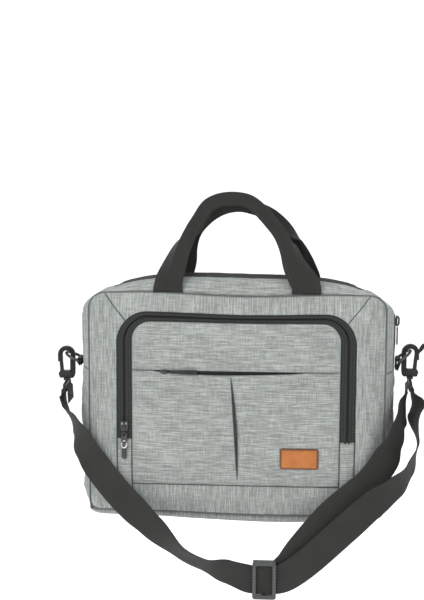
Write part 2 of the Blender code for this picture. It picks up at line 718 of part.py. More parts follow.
def strap_stations():
    """(point, width direction) from the free end, over the right hook, to the left hook."""
    right_x, right_z = HOOK_RIGHT[0], HOOK_RIGHT[2] + BAR_Z
    left_x, left_z = HOOK_LEFT[0], HOOK_LEFT[2] + BAR_Z
    rise_to_right = [
        ((0.0740, -0.0782, -0.0440), (-0.60, 0, 0.80)),
        ((0.0880, -0.0775, -0.0230), (-0.80, 0, 0.60)),
        ((0.1230, -0.0740, 0.0190), (-0.72, 0, 0.70)),
        ((0.1540, -0.0690, 0.0460), (-0.66, 0, 0.75)),
        ((0.1760, -0.0650, 0.0650), (-0.72, 0, 0.70)),
        ((0.1930, -0.0600, 0.0890), (-0.86, -0.15, 0.50)),
        ((0.2070, -0.0500, 0.1150), (-0.62, -0.75, 0.20)),
        ((0.2155, -0.0330, 0.1390), (-0.22, -0.95, 0.05)),
        ((right_x - LOOP_R - 0.0025, -0.0110, 0.1530), (-0.02, -1.0, 0.0)),
        ((right_x - LOOP_R, -0.0006, right_z - 0.010), (0, -1, 0)),
    ]
    right_to_left = [
        ((right_x + LOOP_R, 0.0, right_z - 0.002), (0, -1, 0)),
        ((right_x + LOOP_R + 0.0015, -0.0006, right_z - 0.011), (0, -1, 0)),
        ((right_x + LOOP_R + 0.0065, -0.0080, 0.1510), (0.05, -1, 0)),
        ((0.2415, -0.0260, 0.1340), (0.0, -1, 0.05)),
        ((0.2390, -0.0430, 0.1080), (-0.12, -0.98, 0.1)),
        ((0.2260, -0.0610, 0.0790), (-0.40, -0.88, 0.25)),
        ((0.2060, -0.0720, 0.0570), (-0.62, -0.55, 0.55)),
        ((0.1780, -0.0800, 0.0370), (-0.62, -0.15, 0.77)),
        ((0.1450, -0.0850, 0.0070), (-0.70, 0, 0.71)),
        ((0.1020, -0.0860, -0.0340), (-0.66, 0, 0.75)),
        ((0.0760, -0.0838, -0.0560), (-0.40, 0, 0.91)),
        ((0.0600, -0.0814, -0.0652), (-0.10, 0, 0.99)),
        ((0.0480, -0.0812, -0.0665), (0, 0, 1)),
        ((0.0320, -0.0812, -0.0665), (0, 0, 1)),
        ((0.0200, -0.0812, -0.0655), (0.04, 0, 1)),
        ((-0.0080, -0.0800, -0.0570), (0.20, -0.15, 0.96)),
        ((-0.0400, -0.0800, -0.0480), (0.32, -0.50, 0.80)),
        ((-0.0700, -0.0790, -0.0330), (0.42, -0.55, 0.72)),
        ((-0.1080, -0.0760, 0.0010), (0.66, -0.15, 0.74)),
        ((-0.1330, -0.0730, 0.0240), (0.72, 0, 0.70)),
        ((-0.1550, -0.0690, 0.0460), (0.76, 0, 0.65)),
        ((-0.1790, -0.0630, 0.0740), (0.80, -0.05, 0.60)),
        ((-0.1980, -0.0520, 0.0990), (0.74, -0.40, 0.54)),
        ((-0.2130, -0.0340, 0.1220), (0.42, -0.86, 0.30)),
        ((-0.2270, -0.0160, 0.1380), (0.10, -0.99, 0.1)),
        ((-0.2330, -0.0040, 0.1500), (0, -1, 0)),
        ((left_x - LOOP_R, -0.0005, left_z - 0.003), (0, -1, 0)),
    ]
    left_end = [
        ((left_x + LOOP_R, 0.0, left_z - 0.004), (0, -1, 0)),
        ((left_x + LOOP_R + 0.0008, 0.0, left_z - 0.016), (0, -1, 0)),
    ]
    return (rise_to_right + bar_turn(right_x, right_z) + right_to_left
            + bar_turn(left_x, left_z) + left_end)


def build_adjuster():
    """Two outer bars in front of the webbing, middle bar behind it, joined top and bottom."""
    x, z = ADJUSTER.x, ADJUSTER.z
    half = 0.0212       # half height of the openings
    bar = 0.0026        # half width of the middle bar
    frame = box("strap_adjuster", (x - 0.0155, -0.0858, z - 0.0255),
                (x + 0.0155, -0.0752, z + 0.0255), "plastic", origin=ADJUSTER)
    # name, x range, y range
    cuts = [
        ("adj_cut_windows", x - 0.0105, x + 0.0105, -0.0900, -0.0776),
        ("adj_cut_left_behind", x - 0.0200, x - bar, -0.0828, -0.0700),
        ("adj_cut_right_behind", x + bar, x + 0.0200, -0.0828, -0.0700),
    ]
    for name, x0, x1, y0, y1 in cuts:
        cut_box(frame, name, (x0, y0, z - half), (x1, y1, z + half))


def build_end_loop():
    """Short webbing loop round the adjuster's middle bar."""
    x, z = ADJUSTER.x, ADJUSTER.z
    loop = [(x + 0.0100, -0.0786, z)]
    for i in range(7):
        a = math.radians(90 + 180 * i / 6)
        loop.append((x - 0.0022 + 0.0023 * math.cos(a), -0.0764 - 0.0022 * math.sin(a), z))
    loop.append((x + 0.0100, -0.0742, z))
    flat_strip("strap_end_loop", loop, [(0, 0, 1)] * len(loop))


# ---------------------------------------------------------------- grab handles
GRIP_WIDTH = 0.0195
GRIP_T = 0.0052
HANDLE_END_T = 0.0018
HANDLE_FLAT = 0.030     # flat length at each end
HANDLE_TAPER = 0.045    # length over which it narrows to the grip
FRONT_Y = -0.0404       # sewn ends
REAR_Y = 0.0406

# Centre lines from left end to right end
FRONT_HANDLE = [
    (-0.0895, FRONT_Y, 0.3062), (-0.0895, FRONT_Y + 0.0008, 0.3130), (-0.0885, -0.0385, 0.3220),
    (-0.0845, -0.0350, 0.3340), (-0.0760, -0.0290, 0.3540), (-0.0640, -0.0225, 0.3750),
    (-0.0510, -0.0160, 0.3960), (-0.0410, -0.0090, 0.4115), (-0.0300, -0.0062, 0.4185),
    (-0.0160, -0.0062, 0.4220), (0.0, -0.0062, 0.4220), (0.0140, -0.0062, 0.4185),
    (0.0260, -0.0090, 0.4100), (0.0380, -0.0150, 0.3980), (0.0540, -0.0210, 0.3790),
    (0.0660, -0.0270, 0.3590), (0.0750, -0.0330, 0.3390), (0.0862, -0.0375, 0.3210),
    (0.0895, FRONT_Y + 0.0008, 0.3125), (0.0895, FRONT_Y, 0.3062),
]
REAR_HANDLE = [
    (-0.0830, REAR_Y, 0.3062), (-0.0830, REAR_Y - 0.0008, 0.3130), (-0.0795, 0.0385, 0.3230),
    (-0.0740, 0.0340, 0.3380), (-0.0690, 0.0270, 0.3560), (-0.0600, 0.0200, 0.3750),
    (-0.0460, 0.0140, 0.3920), (-0.0310, 0.0095, 0.4040), (-0.0150, 0.0068, 0.4110),
    (0.0020, 0.0060, 0.4130), (0.0170, 0.0080, 0.4100), (0.0320, 0.0115, 0.4045),
    (0.0460, 0.0160, 0.3960), (0.0620, 0.0215, 0.3800), (0.0740, 0.0280, 0.3620),
    (0.0830, 0.0345, 0.3420), (0.0885, 0.0385, 0.3230), (0.0900, REAR_Y - 0.0008, 0.3130),
    (0.0900, REAR_Y, 0.3062),
]


def handle(name, centre_line):
    """Webbing from two sewn ends, narrower and thicker over the grip."""
    path, _ = smooth_path([(point, (1, 0, 0)) for point in centre_line], step=0.014)
    reach = [0.0]
    for a, b in zip(path, path[1:]):
        reach.append(reach[-1] + (b - a).length)
    widths, thicknesses, across = [], [], []
    for i, s in enumerate(reach):
        from_end = min(s, reach[-1] - s)
        f = min(1.0, max(0.0, (from_end - HANDLE_FLAT) / HANDLE_TAPER))
        f = f * f * (3 - 2 * f)
        widths.append(WEB + (GRIP_WIDTH - WEB) * f)
        thicknesses.append(HANDLE_END_T + (GRIP_T - HANDLE_END_T) * f)
        across.append(tangent_at(path, i).cross(Vector((0, 1, 0))))
    strip(name, path, across, widths, thicknesses)


# ---------------------------------------------------------------- zip sliders and pullers
SLIDER_HALF = 0.0056        # half width
SLIDER_T = 0.0034
SLIDER_Z = (-0.0070, 0.0072)  # bottom and top about the slider's place
PULLER_HALF = 0.0036        # half width
PULLER_T = 0.0018
PULLER_TOP = -0.0080        # below the slider's place
PULLER_ORIGIN = 0.0006      # origin below the puller's top
HOLE_OUT = (-0.0050, 0.0100)  # reach of the hole cutter through the puller


def slider_and_puller(prefix, place, z, length, stand_off, hole_half, hole_drops):
    """Slider with a hanging puller; place maps (across, outwards, z) to the world.

    hole_drops are the hole's bottom and top below the top of the puller.
    """
    def corners(half, out, heights):
        a = place(-half, out[0], heights[0])
        b = place(half, out[1], heights[1])
        return tuple(map(min, a, b)), tuple(map(max, a, b))

    low, high = corners(SLIDER_HALF, (0, SLIDER_T), (z + SLIDER_Z[0], z + SLIDER_Z[1]))
    box(prefix + "_slider", low, high, "metal", bevel=0.0008)
    top = z + PULLER_TOP
    low, high = corners(PULLER_HALF, (stand_off, stand_off + PULLER_T), (top - length, top))
    puller = box(prefix + "_puller", low, high, "metal",
                 origin=place(0, stand_off + PULLER_T / 2, top - PULLER_ORIGIN))
    low, high = corners(hole_half, HOLE_OUT, (top - hole_drops[0], top - hole_drops[1]))
    cut_box(puller, prefix + "_puller_hole", low, high)


def build_pocket_slider():
    """On the left end of the pocket zip, facing the front."""
    x, z = -ZIP_MIDDLE[0], 0.1300
    y = pocket_y(x, z) - 0.0009
    slider_and_puller("pocket", lambda across, out, height: (x + across, y - out, height), z,
                      length=0.0360, stand_off=0.0012, hole_half=0.0021,
                      hole_drops=(0.0250, 0.0210))


def build_main_slider():
    """On the right end of the main zip, facing +X."""
    x = HALF_W + BULGE_SIDE + 0.0005
    slider_and_puller("main", lambda across, out, height: (x + out, across, height), 0.2640,
                      length=0.0240, stand_off=0.0010, hole_half=0.0020,
                      hole_drops=(0.0225, 0.0175))


def build_welt_slider():
    """Small slider on the welt, its puller lying along the zip towards +X."""
    x = -0.0920
    y = pocket_y(x, WELT_Z) - 0.0011
    box("welt_slider", (x - 0.0050, y - 0.0026, WELT_Z - 0.0030),
        (x + 0.0045, y, WELT_Z + 0.0030), "metal", bevel=0.0006)
    # x, y, half height, reach forward of y
    sections = [
        (x + 0.0062, y - 0.0024, 0.0010, 0.0008),
        (-0.0720, pocket_y(-0.0600, WELT_Z) - 0.0026, 0.0014, 0.0010),
        (-0.0490, pocket_y(-0.0490, WELT_Z) - 0.0026, 0.0026, 0.0022),
    ]
    verts = []
    for sx, sy, half, reach in sections:
        back, front = sy + 0.0006, sy - reach
        low, high = WELT_Z - half, WELT_Z + half
        verts += [(sx, back, low), (sx, back, high), (sx, front, high), (sx, front, low)]
    add_solid("welt_puller", verts, loft_faces(len(sections)), "plastic",
              origin=(x + 0.0064, y - 0.0025, WELT_Z))


# ---------------------------------------------------------------- build
build_pocket_frame()
build_pocket_panel()
build_pocket_zip()
build_leather_patch()
for plate in BODY_PLATES:
    rounded_plate(*plate)
build_main_zip()
build_side_gussets()
build_edge_bindings()
build_base_and_lining()
for ring_spec in RINGS:
    build_ring(*ring_spec)
build_hook("left", HOOK_LEFT, -1)
build_hook("right", HOOK_RIGHT, 1)
flat_strip("strap_webbing", *smooth_path(strap_stations(), step=0.012))
build_adjuster()
build_end_loop()
handle("front_handle", FRONT_HANDLE)
handle("rear_handle", REAR_HANDLE)
build_pocket_slider()
build_main_slider()
build_welt_slider()
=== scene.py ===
"""Messenger bag with a front pocket, two grab handles and a shoulder strap, dressed over a CAD frame.

Metres, Z up. The front of the bag faces -Y, its width runs along X, its base is near Z = 0.
"left" is -X and "right" is +X. Each piece rides on a body of the frame.
"""
import math

import bmesh
import bpy
import numpy as np
from mathutils import Matrix, Vector
from mathutils.bvhtree import BVHTree


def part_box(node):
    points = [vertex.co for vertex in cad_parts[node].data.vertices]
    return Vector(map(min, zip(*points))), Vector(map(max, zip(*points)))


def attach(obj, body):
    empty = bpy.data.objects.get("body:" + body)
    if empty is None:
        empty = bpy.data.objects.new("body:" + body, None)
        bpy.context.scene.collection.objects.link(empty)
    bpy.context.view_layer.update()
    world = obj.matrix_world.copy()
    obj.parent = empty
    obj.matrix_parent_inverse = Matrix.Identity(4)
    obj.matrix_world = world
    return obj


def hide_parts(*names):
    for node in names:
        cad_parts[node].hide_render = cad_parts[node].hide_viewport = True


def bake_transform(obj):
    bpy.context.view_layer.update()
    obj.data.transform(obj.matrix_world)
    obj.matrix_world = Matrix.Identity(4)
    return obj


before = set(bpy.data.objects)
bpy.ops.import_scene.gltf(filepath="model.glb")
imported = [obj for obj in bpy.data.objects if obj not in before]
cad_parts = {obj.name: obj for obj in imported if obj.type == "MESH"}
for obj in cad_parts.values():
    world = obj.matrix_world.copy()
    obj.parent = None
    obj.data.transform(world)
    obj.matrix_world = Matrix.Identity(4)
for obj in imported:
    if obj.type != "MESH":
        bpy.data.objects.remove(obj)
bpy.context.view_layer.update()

# ------------------------------------------------------------------ shared dimensions
SIDES = ((-1, "left"), (1, "right"))
FRONT = (0.0, -1.0, 0.0)

# body outline seen from the front; the rear seam has rounder top corners than the front one
HALF_WIDTH, HALF_DEPTH = 0.194, 0.040
BOTTOM_Z, TOP_Z, SIDE_SEAM_Z = 0.011, 0.303, 0.200
LOW_RADIUS, TOP_RADIUS, BACK_RADIUS = 0.012, 0.022, 0.056
BULGE_SIDE = 0.013
POCKET_RISE, POCKET_DOME = 0.017, 0.007

# borders of the front and rear panels, inside the outline
SEAM_IN = 0.0012
EDGE_X, EDGE_LOW, EDGE_TOP = HALF_WIDTH - SEAM_IN, BOTTOM_Z + SEAM_IN, TOP_Z - SEAM_IN
EDGE_LOW_R, EDGE_TOP_R = LOW_RADIUS - SEAM_IN, TOP_RADIUS - SEAM_IN
EDGE_BACK_R = BACK_RADIUS - SEAM_IN
GAP = 0.0002            # between neighbouring panels

# arches of the pocket zip: half width, top and corner radius
ZIP_OUT_X, ZIP_OUT_Z, ZIP_OUT_R = 0.1545, 0.279, 0.040
ZIP_MID_X, ZIP_MID_Z, ZIP_MID_R = 0.1447, 0.2736, 0.032
ZIP_IN_X, ZIP_IN_Z, ZIP_IN_R = 0.1349, 0.268, 0.024
ZIP_END, POCKET_SEAM, WELT_Z = 0.1129, 0.052, 0.2035

WEB, WEB_THICK = 0.038, 0.0014
RING_DEPTH, RING_WIRE = 0.020, 0.0019

# heights below the centre of a hook's bend
SWIVEL_TOP, SWIVEL_DEEP = -0.0404, 0.0165
BAR_Z = SWIVEL_TOP - SWIVEL_DEEP + 0.0018
STRAP_TURN = 0.0043     # radius of the strap over the swivel's bar


def hook_centre(tag):
    """X and Z of the centre of the hook's bend, from the CAD hook's box."""
    lo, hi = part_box("hook_" + tag)
    return (lo.x + hi.x) / 2, lo.z + 0.0400


HOOKS = {tag: hook_centre(tag) for _, tag in SIDES}


# ------------------------------------------------------------------ noise and curves
NOISE_TABLES = {}


def value_noise(x, y, seed):
    """Smooth value noise, -1 to 1."""
    if seed not in NOISE_TABLES:
        NOISE_TABLES[seed] = np.random.RandomState(seed).rand(64, 64) * 2 - 1
    table = NOISE_TABLES[seed]
    x, y = np.broadcast_arrays(np.asarray(x, float), np.asarray(y, float))
    col, row = np.floor(x).astype(int), np.floor(y).astype(int)
    x, y = x - col, y - row
    x, y = x ** 3 * (x * (x * 6 - 15) + 10), y ** 3 * (y * (y * 6 - 15) + 10)
    near = table[col % 64, row % 64] * (1 - x) + table[(col + 1) % 64, row % 64] * x
    far = table[col % 64, (row + 1) % 64] * (1 - x) + table[(col + 1) % 64, (row + 1) % 64] * x
    return near * (1 - y) + far * y


def fbm(x, y, seed, octaves=3):
    """Layered value noise."""
    total, weight, weights = 0.0, 1.0, 0.0
    for k in range(octaves):
        total = total + weight * value_noise(np.asarray(x) * 2 ** k + 7.3 * k,
                                             np.asarray(y) * 2 ** k + 3.1 * k, seed + k)
        weights += weight
        weight *= 0.5
    return total / weights


def smooth(t):
    t = np.clip(t, 0.0, 1.0)
    return t * t * (3 - 2 * t)


def hump(value, centre, width):
    """Bell curve of height 1."""
    return np.exp(-((value - centre) / width) ** 2)


def stack(*columns):
    """Array of points from broadcast coordinates."""
    return np.stack(np.broadcast_arrays(*columns), -1)


def line(start, end, n):
    return [(start[0] + (end[0] - start[0]) * i / n, start[1] + (end[1] - start[1]) * i / n)
            for i in range(n + 1)]


def arc(centre, radius, start, end, n):
    """Arc between two angles in degrees."""
    angles = [math.radians(start + (end - start) * i / n) for i in range(n + 1)]
    return [(centre[0] + radius * math.cos(a), centre[1] + radius * math.sin(a)) for a in angles]


def join(*parts):
    """One path from several, without doubled points."""
    out = []
    for part in parts:
        for point in part:
            if not out or math.dist(out[-1], point) > 1e-7:
                out.append(tuple(point))
    return out


def mirrored(path):
    return [(-x, z) for x, z in path]


def moved(outline, x, z, flip=1):
    """Outline moved to a place; flip -1 mirrors it across its own middle."""
    return [(x + flip * dx, z + dz) for dx, dz in outline]


def rounded_rect(half_x, half_z, radius, on_arc=10, on_line=14):
    """Closed rounded rectangle about the origin with a fixed number of points."""
    radius = min(radius, half_x * 0.999, half_z * 0.999)
    x, z = half_x - radius, half_z - radius
    return np.array(
        line((-half_x, -z), (-half_x, z), on_line)[:-1] + arc((-x, z), radius, 180, 90, on_arc)[:-1]
        + line((-x, half_z), (x, half_z), on_line)[:-1] + arc((x, z), radius, 90, 0, on_arc)[:-1]
        + line((half_x, z), (half_x, -z), on_line)[:-1] + arc((x, -z), radius, 0, -90, on_arc)[:-1]
        + line((x, -half_z), (-x, -half_z), on_line)[:-1] + arc((-x, -z), radius, -90, -180, on_arc))


def arclen(path):
    steps = np.linalg.norm(np.diff(np.asarray(path, float), axis=0), axis=1)
    return np.concatenate([[0.0], np.cumsum(steps)])


def sample(path, fractions):
    """Points at given fractions of a polyline's length."""
    path, run = np.asarray(path, float), arclen(path)
    marks = np.asarray(fractions) * run[-1]
    return np.stack([np.interp(marks, run, path[:, k]) for k in range(path.shape[1])], -1)


def resample(path, count):
    return sample(path, np.linspace(0, 1, count))


def between(first, second, fractions):
    """Grid of points leading from one line of points to another."""
    share = np.asarray(fractions)[None, :, None]
    return first[:, None] * (1 - share) + second[:, None] * share


EDGE_STEPS = np.array([0.0, 0.00012, 0.0003, 0.0006, 0.0010, 0.0015, 0.0021, 0.0030, 0.0042])


def spread(length, step, high=True):
    """Positions 0..length, close together near 0 and, if asked, near the far end."""
    steps = [e for e in EDGE_STEPS if e < length * 0.4]
    ends = [length - e for e in steps] if high else [length]
    n = max(1, int(round((ends[-1] - steps[-1]) / step)))
    middle = [steps[-1] + (ends[-1] - steps[-1]) * i / n for i in range(1, n)]
    return np.array(sorted(set(steps + middle + ends)))


def dense_ends(start, steps, middle):
    """Positions from start to 1 with the given steps at both ends."""
    steps = np.asarray(steps)
    return np.concatenate([start + steps, middle, 1 - steps[::-1]])


def arc_height(distance, radius):
    return np.sqrt(np.maximum(radius ** 2 - distance ** 2, 0))


def rounded_columns(centre, radius, on_arc, on_flat):
    """Columns across a panel with round corners, from -X to +X."""
    angles = np.linspace(0, math.pi / 2, on_arc)[:-1]
    half = np.concatenate([centre + radius * np.cos(angles), np.linspace(centre, 0, on_flat)])
    return np.concatenate([-half, half[::-1][1:]])


def pocket_y(x, z):
    """Depth of the front surface: rises from the seam loop to the pocket zip, then domes."""
    blend = 6.0         # how sharply the three slopes meet
    x, z = np.asarray(x, float), np.asarray(z, float)
    side = (HALF_WIDTH - 0.001 - abs(x)) / 0.0385
    top = (TOP_Z - z) / 0.024
    low = (z - BOTTOM_Z) / 0.041
    inward = -np.log(np.exp(-blend * side) + np.exp(-blend * top) + np.exp(-blend * low)) / blend
    inward = np.maximum(inward, 0.0)
    rise = POCKET_RISE * np.sin(math.pi / 2 * np.minimum(inward, 1.0)) ** 0.9
    dome = POCKET_DOME * (1 - np.exp(-(np.maximum(inward, 1) - 1) / 1.2))
    return -HALF_DEPTH - rise - np.where(inward > 1, dome, 0.0)


def roll(distance, radius):
    """How far a folded-in border drops at a distance from its edge."""
    q = np.clip(radius - distance, 0, radius)
    return radius - np.sqrt(np.maximum(radius * radius - q * q, 0))


def swell(x, z, seed):
    """Soft unevenness of padded cloth."""
    return 0.0011 * fbm(x * 16, z * 16, seed, 3) + 0.0004 * fbm(x * 60, z * 45, seed + 5, 2)


def seam_drop(distance, along, radius, dip=0.0009, pucker=0.00055, seed=0):
    """Drop of the cloth near a seam: rolled edge, shallow valley, puckers along it."""
    return (roll(distance, radius) + dip * np.exp(-distance / 0.009)
            + pucker * np.exp(-distance / 0.0055) * fbm(along * 95, distance * 40, seed, 2))


# ------------------------------------------------------------------ materials
def rgba(color, factor=1.0):
    """Opaque colour from a triple or a single grey."""
    color = color if isinstance(color, tuple) else (color,) * 3
    return (*[c * factor for c in color], 1.0)


class Material:
    """A material and short calls for building its node tree."""

    def __init__(self, name):
        self.material = bpy.data.materials.new(name)
        self.material.use_nodes = True
        self.tree = self.material.node_tree
        self.shader = self.tree.nodes["Principled BSDF"]

    def put(self, socket, value):
        if isinstance(value, bpy.types.NodeSocket):
            self.tree.links.new(value, socket)
        else:
            socket.default_value = value

    def node(self, kind, *inputs, props=None, **named):
        """New node; inputs go in by place or by name."""
        node = self.tree.nodes.new(kind)
        for key, value in (props or {}).items():
            setattr(node, key, value)
        for key, value in [*enumerate(inputs), *named.items()]:
            self.put(node.inputs[key], value)
        return node

    def math(self, operation, first, second=0.0, *third):
        props = {"operation": operation}
        return self.node("ShaderNodeMath", first, second, *third, props=props).outputs[0]

    def weighted(self, *terms):
        """Sum of (value, weight) pairs."""
        total = self.math("MULTIPLY", *terms[-1])
        for value, weight in reversed(terms[:-1]):
            total = self.math("MULTIPLY_ADD", value, weight, total)
        return total

    def ramp(self, factor, *stops):
        node = self.node("ShaderNodeValToRGB", factor)
        elements = node.color_ramp.elements
        while len(elements) < len(stops):
            elements.new(0.5)
        for element, (position, color) in zip(elements, stops):
            element.position = position
            element.color = rgba(color)
        return node.outputs[0]

    def scaled(self, vector, scale):
        return self.node("ShaderNodeMapping", Vector=vector, Scale=scale).outputs[0]

    def noise(self, vector, scale, detail=2.0, rough=0.55):
        """Noise; a triple of scales stretches it along the axes."""
        if isinstance(scale, tuple):
            vector, scale = self.scaled(vector, scale), 1.0
        return self.node("ShaderNodeTexNoise", Vector=vector, Scale=scale, Detail=detail,
                         Roughness=rough).outputs[0]

    def bands(self, vector, axis, **inputs):
        return self.node("ShaderNodeTexWave", Vector=vector, **inputs,
                         props={"wave_type": "BANDS", "bands_direction": axis}).outputs[1]

    def ridges(self, value, pitch):
        """0..1 ridges across a coordinate in metres."""
        turns = self.math("MULTIPLY", value, 2 * math.pi / pitch)
        return self.math("MULTIPLY_ADD", self.math("SINE", turns), 0.5, 0.5)

    def mix(self, factor, first, second, mode="MIX"):
        node = self.node("ShaderNodeMix", props={"data_type": "RGBA", "blend_type": mode})
        for index, value in ((0, factor), (6, first), (7, second)):
            self.put(node.inputs[index], value)
        return node.outputs[2]

    def uv_axes(self):
        uv = self.node("ShaderNodeTexCoord").outputs["UV"]
        split = self.node("ShaderNodeSeparateXYZ", uv)
        return split.outputs[0], split.outputs[1]

    def plane(self, first, second):
        return self.node("ShaderNodeCombineXYZ", first, second, 0.0).outputs[0]

    def object_space(self):
        return self.node("ShaderNodeTexCoord").outputs["Object"]

    def edge_ramp(self, scale, *stops):
        """Ramp over the "edge" attribute, the distance in metres from a cut or seam; some pieces also
        make it small along pleat grooves, creases and zip middles to paint shade there.
        """
        edge = self.node("ShaderNodeAttribute", props={"attribute_name": "edge"}).outputs["Fac"]
        return self.ramp(self.math("MULTIPLY", edge, scale), *stops)

    def worn_ramp(self, start, end):
        """0..1 over the convex edges of a solid."""
        pointed = self.node("ShaderNodeNewGeometry").outputs["Pointiness"]
        return self.ramp(pointed, (start, 0.0), (end, 1.0))

    def bump(self, height, distance, strength=1.0):
        return self.node("ShaderNodeBump", Strength=strength, Distance=distance,
                         Height=height).outputs[0]

    def finish(self, color, rough, normal=None, metal=0.0, sheen=0.0, spec=0.5, coat=0.0):
        values = {"Base Color": color, "Roughness": rough, "Metallic": metal,
                  "Specular IOR Level": spec, "Sheen Weight": sheen, "Sheen Roughness": 0.6,
                  "Coat Weight": coat}
        if normal is not None:
            values["Normal"] = normal
        for key, value in values.items():
            self.put(self.shader.inputs[key], value)
        return self.material


# Noise scales given as triples are cycles per metre along U and V (or X, Y, Z).
def melange(name, yarn_axis):
    """Slub-yarn polyester: pale and dark yarn lengths along one UV axis over a plain weave, with
    painted shade along seams, pleat grooves and creases.
    """
    mat = Material(name)
    along, across = mat.uv_axes()
    if yarn_axis == "v":
        along, across = across, along
    flat = mat.plane(along, across)
    drift = mat.noise(flat, (9, 9, 1), rough=0.5)
    bent = mat.plane(along, mat.math("MULTIPLY_ADD", drift, 0.0012, across))
    slubs = mat.noise(bent, (30, 640, 1))
    fine_slubs = mat.noise(bent, (95, 1700, 1), detail=1.0, rough=0.5)
    crossing = mat.noise(bent, (820, 55, 1))
    patches = mat.noise(flat, (13, 26, 1), detail=3.0)
    yarn = mat.weighted((slubs, 0.42), (fine_slubs, 0.26), (crossing, 0.22), (patches, 0.10))
    dark, mid, pale = (0.172, 0.185, 0.177), (0.298, 0.319, 0.306), (0.428, 0.451, 0.437)
    half_dark = tuple((a + b) / 2 for a, b in zip(dark, mid))
    color = mat.ramp(yarn, (0.37, dark), (0.470, half_dark), (0.512, mid), (0.61, pale))
    weave = mat.math("MULTIPLY", mat.ridges(along, 0.00100), mat.ridges(across, 0.00086))
    hollows = mat.ramp(weave, (0.0, (0.35, 0.36, 0.35)), (1.0, 1.0))
    color = mat.mix(0.16, color, hollows, "MULTIPLY")
    # painted shade: the cloth darkens to 0.42 at a seam and clears within about 2 mm, following the
    # "edge" attribute
    seams = mat.edge_ramp(250.0, (0.0, (0.42, 0.43, 0.42)), (0.22, (0.80, 0.81, 0.80)),
                          (0.5, 1.0), (0.8, 1.0))
    color = mat.mix(1.0, color, seams, "MULTIPLY")
    height = mat.weighted((weave, 0.5), (yarn, 1.1))
    return mat.finish(color, 0.88, mat.bump(height, 0.00045, 0.75), sheen=0.06, spec=0.2)


def webbing(name, level=1.0):
    """Ribbed polypropylene webbing; U runs along it and V across it."""
    mat = Material(name)
    along, across = mat.uv_axes()
    zigzag = mat.math("MULTIPLY", mat.math("PINGPONG", across, 0.0022), 1.0)
    rib = mat.ridges(mat.math("ADD", along, zigzag), 0.00165)
    fine = mat.ridges(across, 0.00125)
    flat = mat.plane(along, across)
    fuzz = mat.noise(flat, (500, 1400, 1), detail=3.0, rough=0.6)
    patches = mat.noise(flat, (22, 40, 1), rough=0.5)
    tone = mat.weighted((rib, 0.45), (fine, 0.18), (fuzz, 0.32), (patches, 0.25))
    colors = ((0.0070, 0.0072, 0.0066), (0.0195, 0.0200, 0.0182), (0.0400, 0.0410, 0.0380))
    dark, mid, pale = [tuple(c * level for c in color) for color in colors]
    color = mat.ramp(tone, (0.22, dark), (0.55, mid), (0.95, pale))
    height = mat.weighted((fuzz, 0.35), (rib, 0.7), (fine, 0.3))
    return mat.finish(color, 0.74, mat.bump(height, 0.0004, 0.9), sheen=0.03, spec=0.22)


def knitted_tape(name):
    """Knitted zip tape; U runs along the zip and V across it; painted shade darkens it near its edges.
    """
    mat = Material(name)
    along, across = mat.uv_axes()
    knit = mat.math("MULTIPLY", mat.ridges(along, 0.0011), mat.ridges(across, 0.00095))
    ridge = mat.ridges(across, 0.0033)
    fuzz = mat.noise(mat.plane(along, across), (240, 1500, 1), detail=3.0, rough=0.6)
    tone = mat.weighted((knit, 0.25), (ridge, 0.25), (fuzz, 0.6))
    color = mat.ramp(tone, (0.2, (0.008, 0.0085, 0.008)), (0.5, (0.024, 0.026, 0.0245)),
                     (0.85, (0.046, 0.049, 0.046)))
    # painted shade along the tape's sewn border and the zip's middle, from the "edge" attribute
    seams = mat.edge_ramp(300.0, (0.0, 0.25), (0.30, 0.75), (0.85, 1.0))
    color = mat.mix(1.0, color, seams, "MULTIPLY")
    height = mat.math("MULTIPLY_ADD", fuzz, 0.3, knit)
    return mat.finish(color, 0.78, mat.bump(height, 0.0003, 0.8), sheen=0.02, spec=0.22)


def coil(name):
    """Nylon coil with bands for its turns."""
    mat = Material(name)
    turns = mat.bands(mat.object_space(), "Z", Scale=220.0, Distortion=0.4, Detail=1.0)
    color = mat.ramp(turns, (0.1, 0.008), (0.8, (0.035, 0.035, 0.034)))
    return mat.finish(color, 0.45, mat.bump(turns, 0.0003, 0.8))


def plastic(name, base, rough, spec=0.3):
    """Moulded plastic with a fine spark texture, a little paler where it is rubbed."""
    mat = Material(name)
    place = mat.object_space()
    fine, broad = mat.noise(place, 2600.0), mat.noise(place, 90.0, detail=3.0)
    wear = mat.worn_ramp(0.50, 0.60)
    color = mat.mix(wear, mat.mix(broad, rgba(base, 0.8), rgba(base, 1.3)), rgba(base, 2.6))
    gloss = mat.math("MULTIPLY_ADD", broad, 0.18, rough - 0.06)
    return mat.finish(color, gloss, mat.bump(fine, 0.00012, 0.6), spec=spec)


def metal(name, base, rough, metallic, worn=None):
    """Finely brushed metal, optionally another colour where it is worn."""
    mat = Material(name)
    place = mat.object_space()
    broad = mat.noise(place, 160.0, detail=4.0, rough=0.6)
    fine = mat.noise(place, (400, 400, 3000))
    color = mat.mix(broad, rgba(base, 0.8), rgba(base, 1.25))
    if worn:
        color = mat.mix(mat.worn_ramp(0.505, 0.58), color, rgba(worn))
    gloss = mat.math("MULTIPLY_ADD", fine, 0.1, rough - 0.12)
    gloss = mat.math("MULTIPLY_ADD", broad, 0.2, gloss)
    normal = mat.bump(mat.math("ADD", fine, broad), 0.00008, 0.5)
    return mat.finish(color, gloss, normal, metal=metallic)


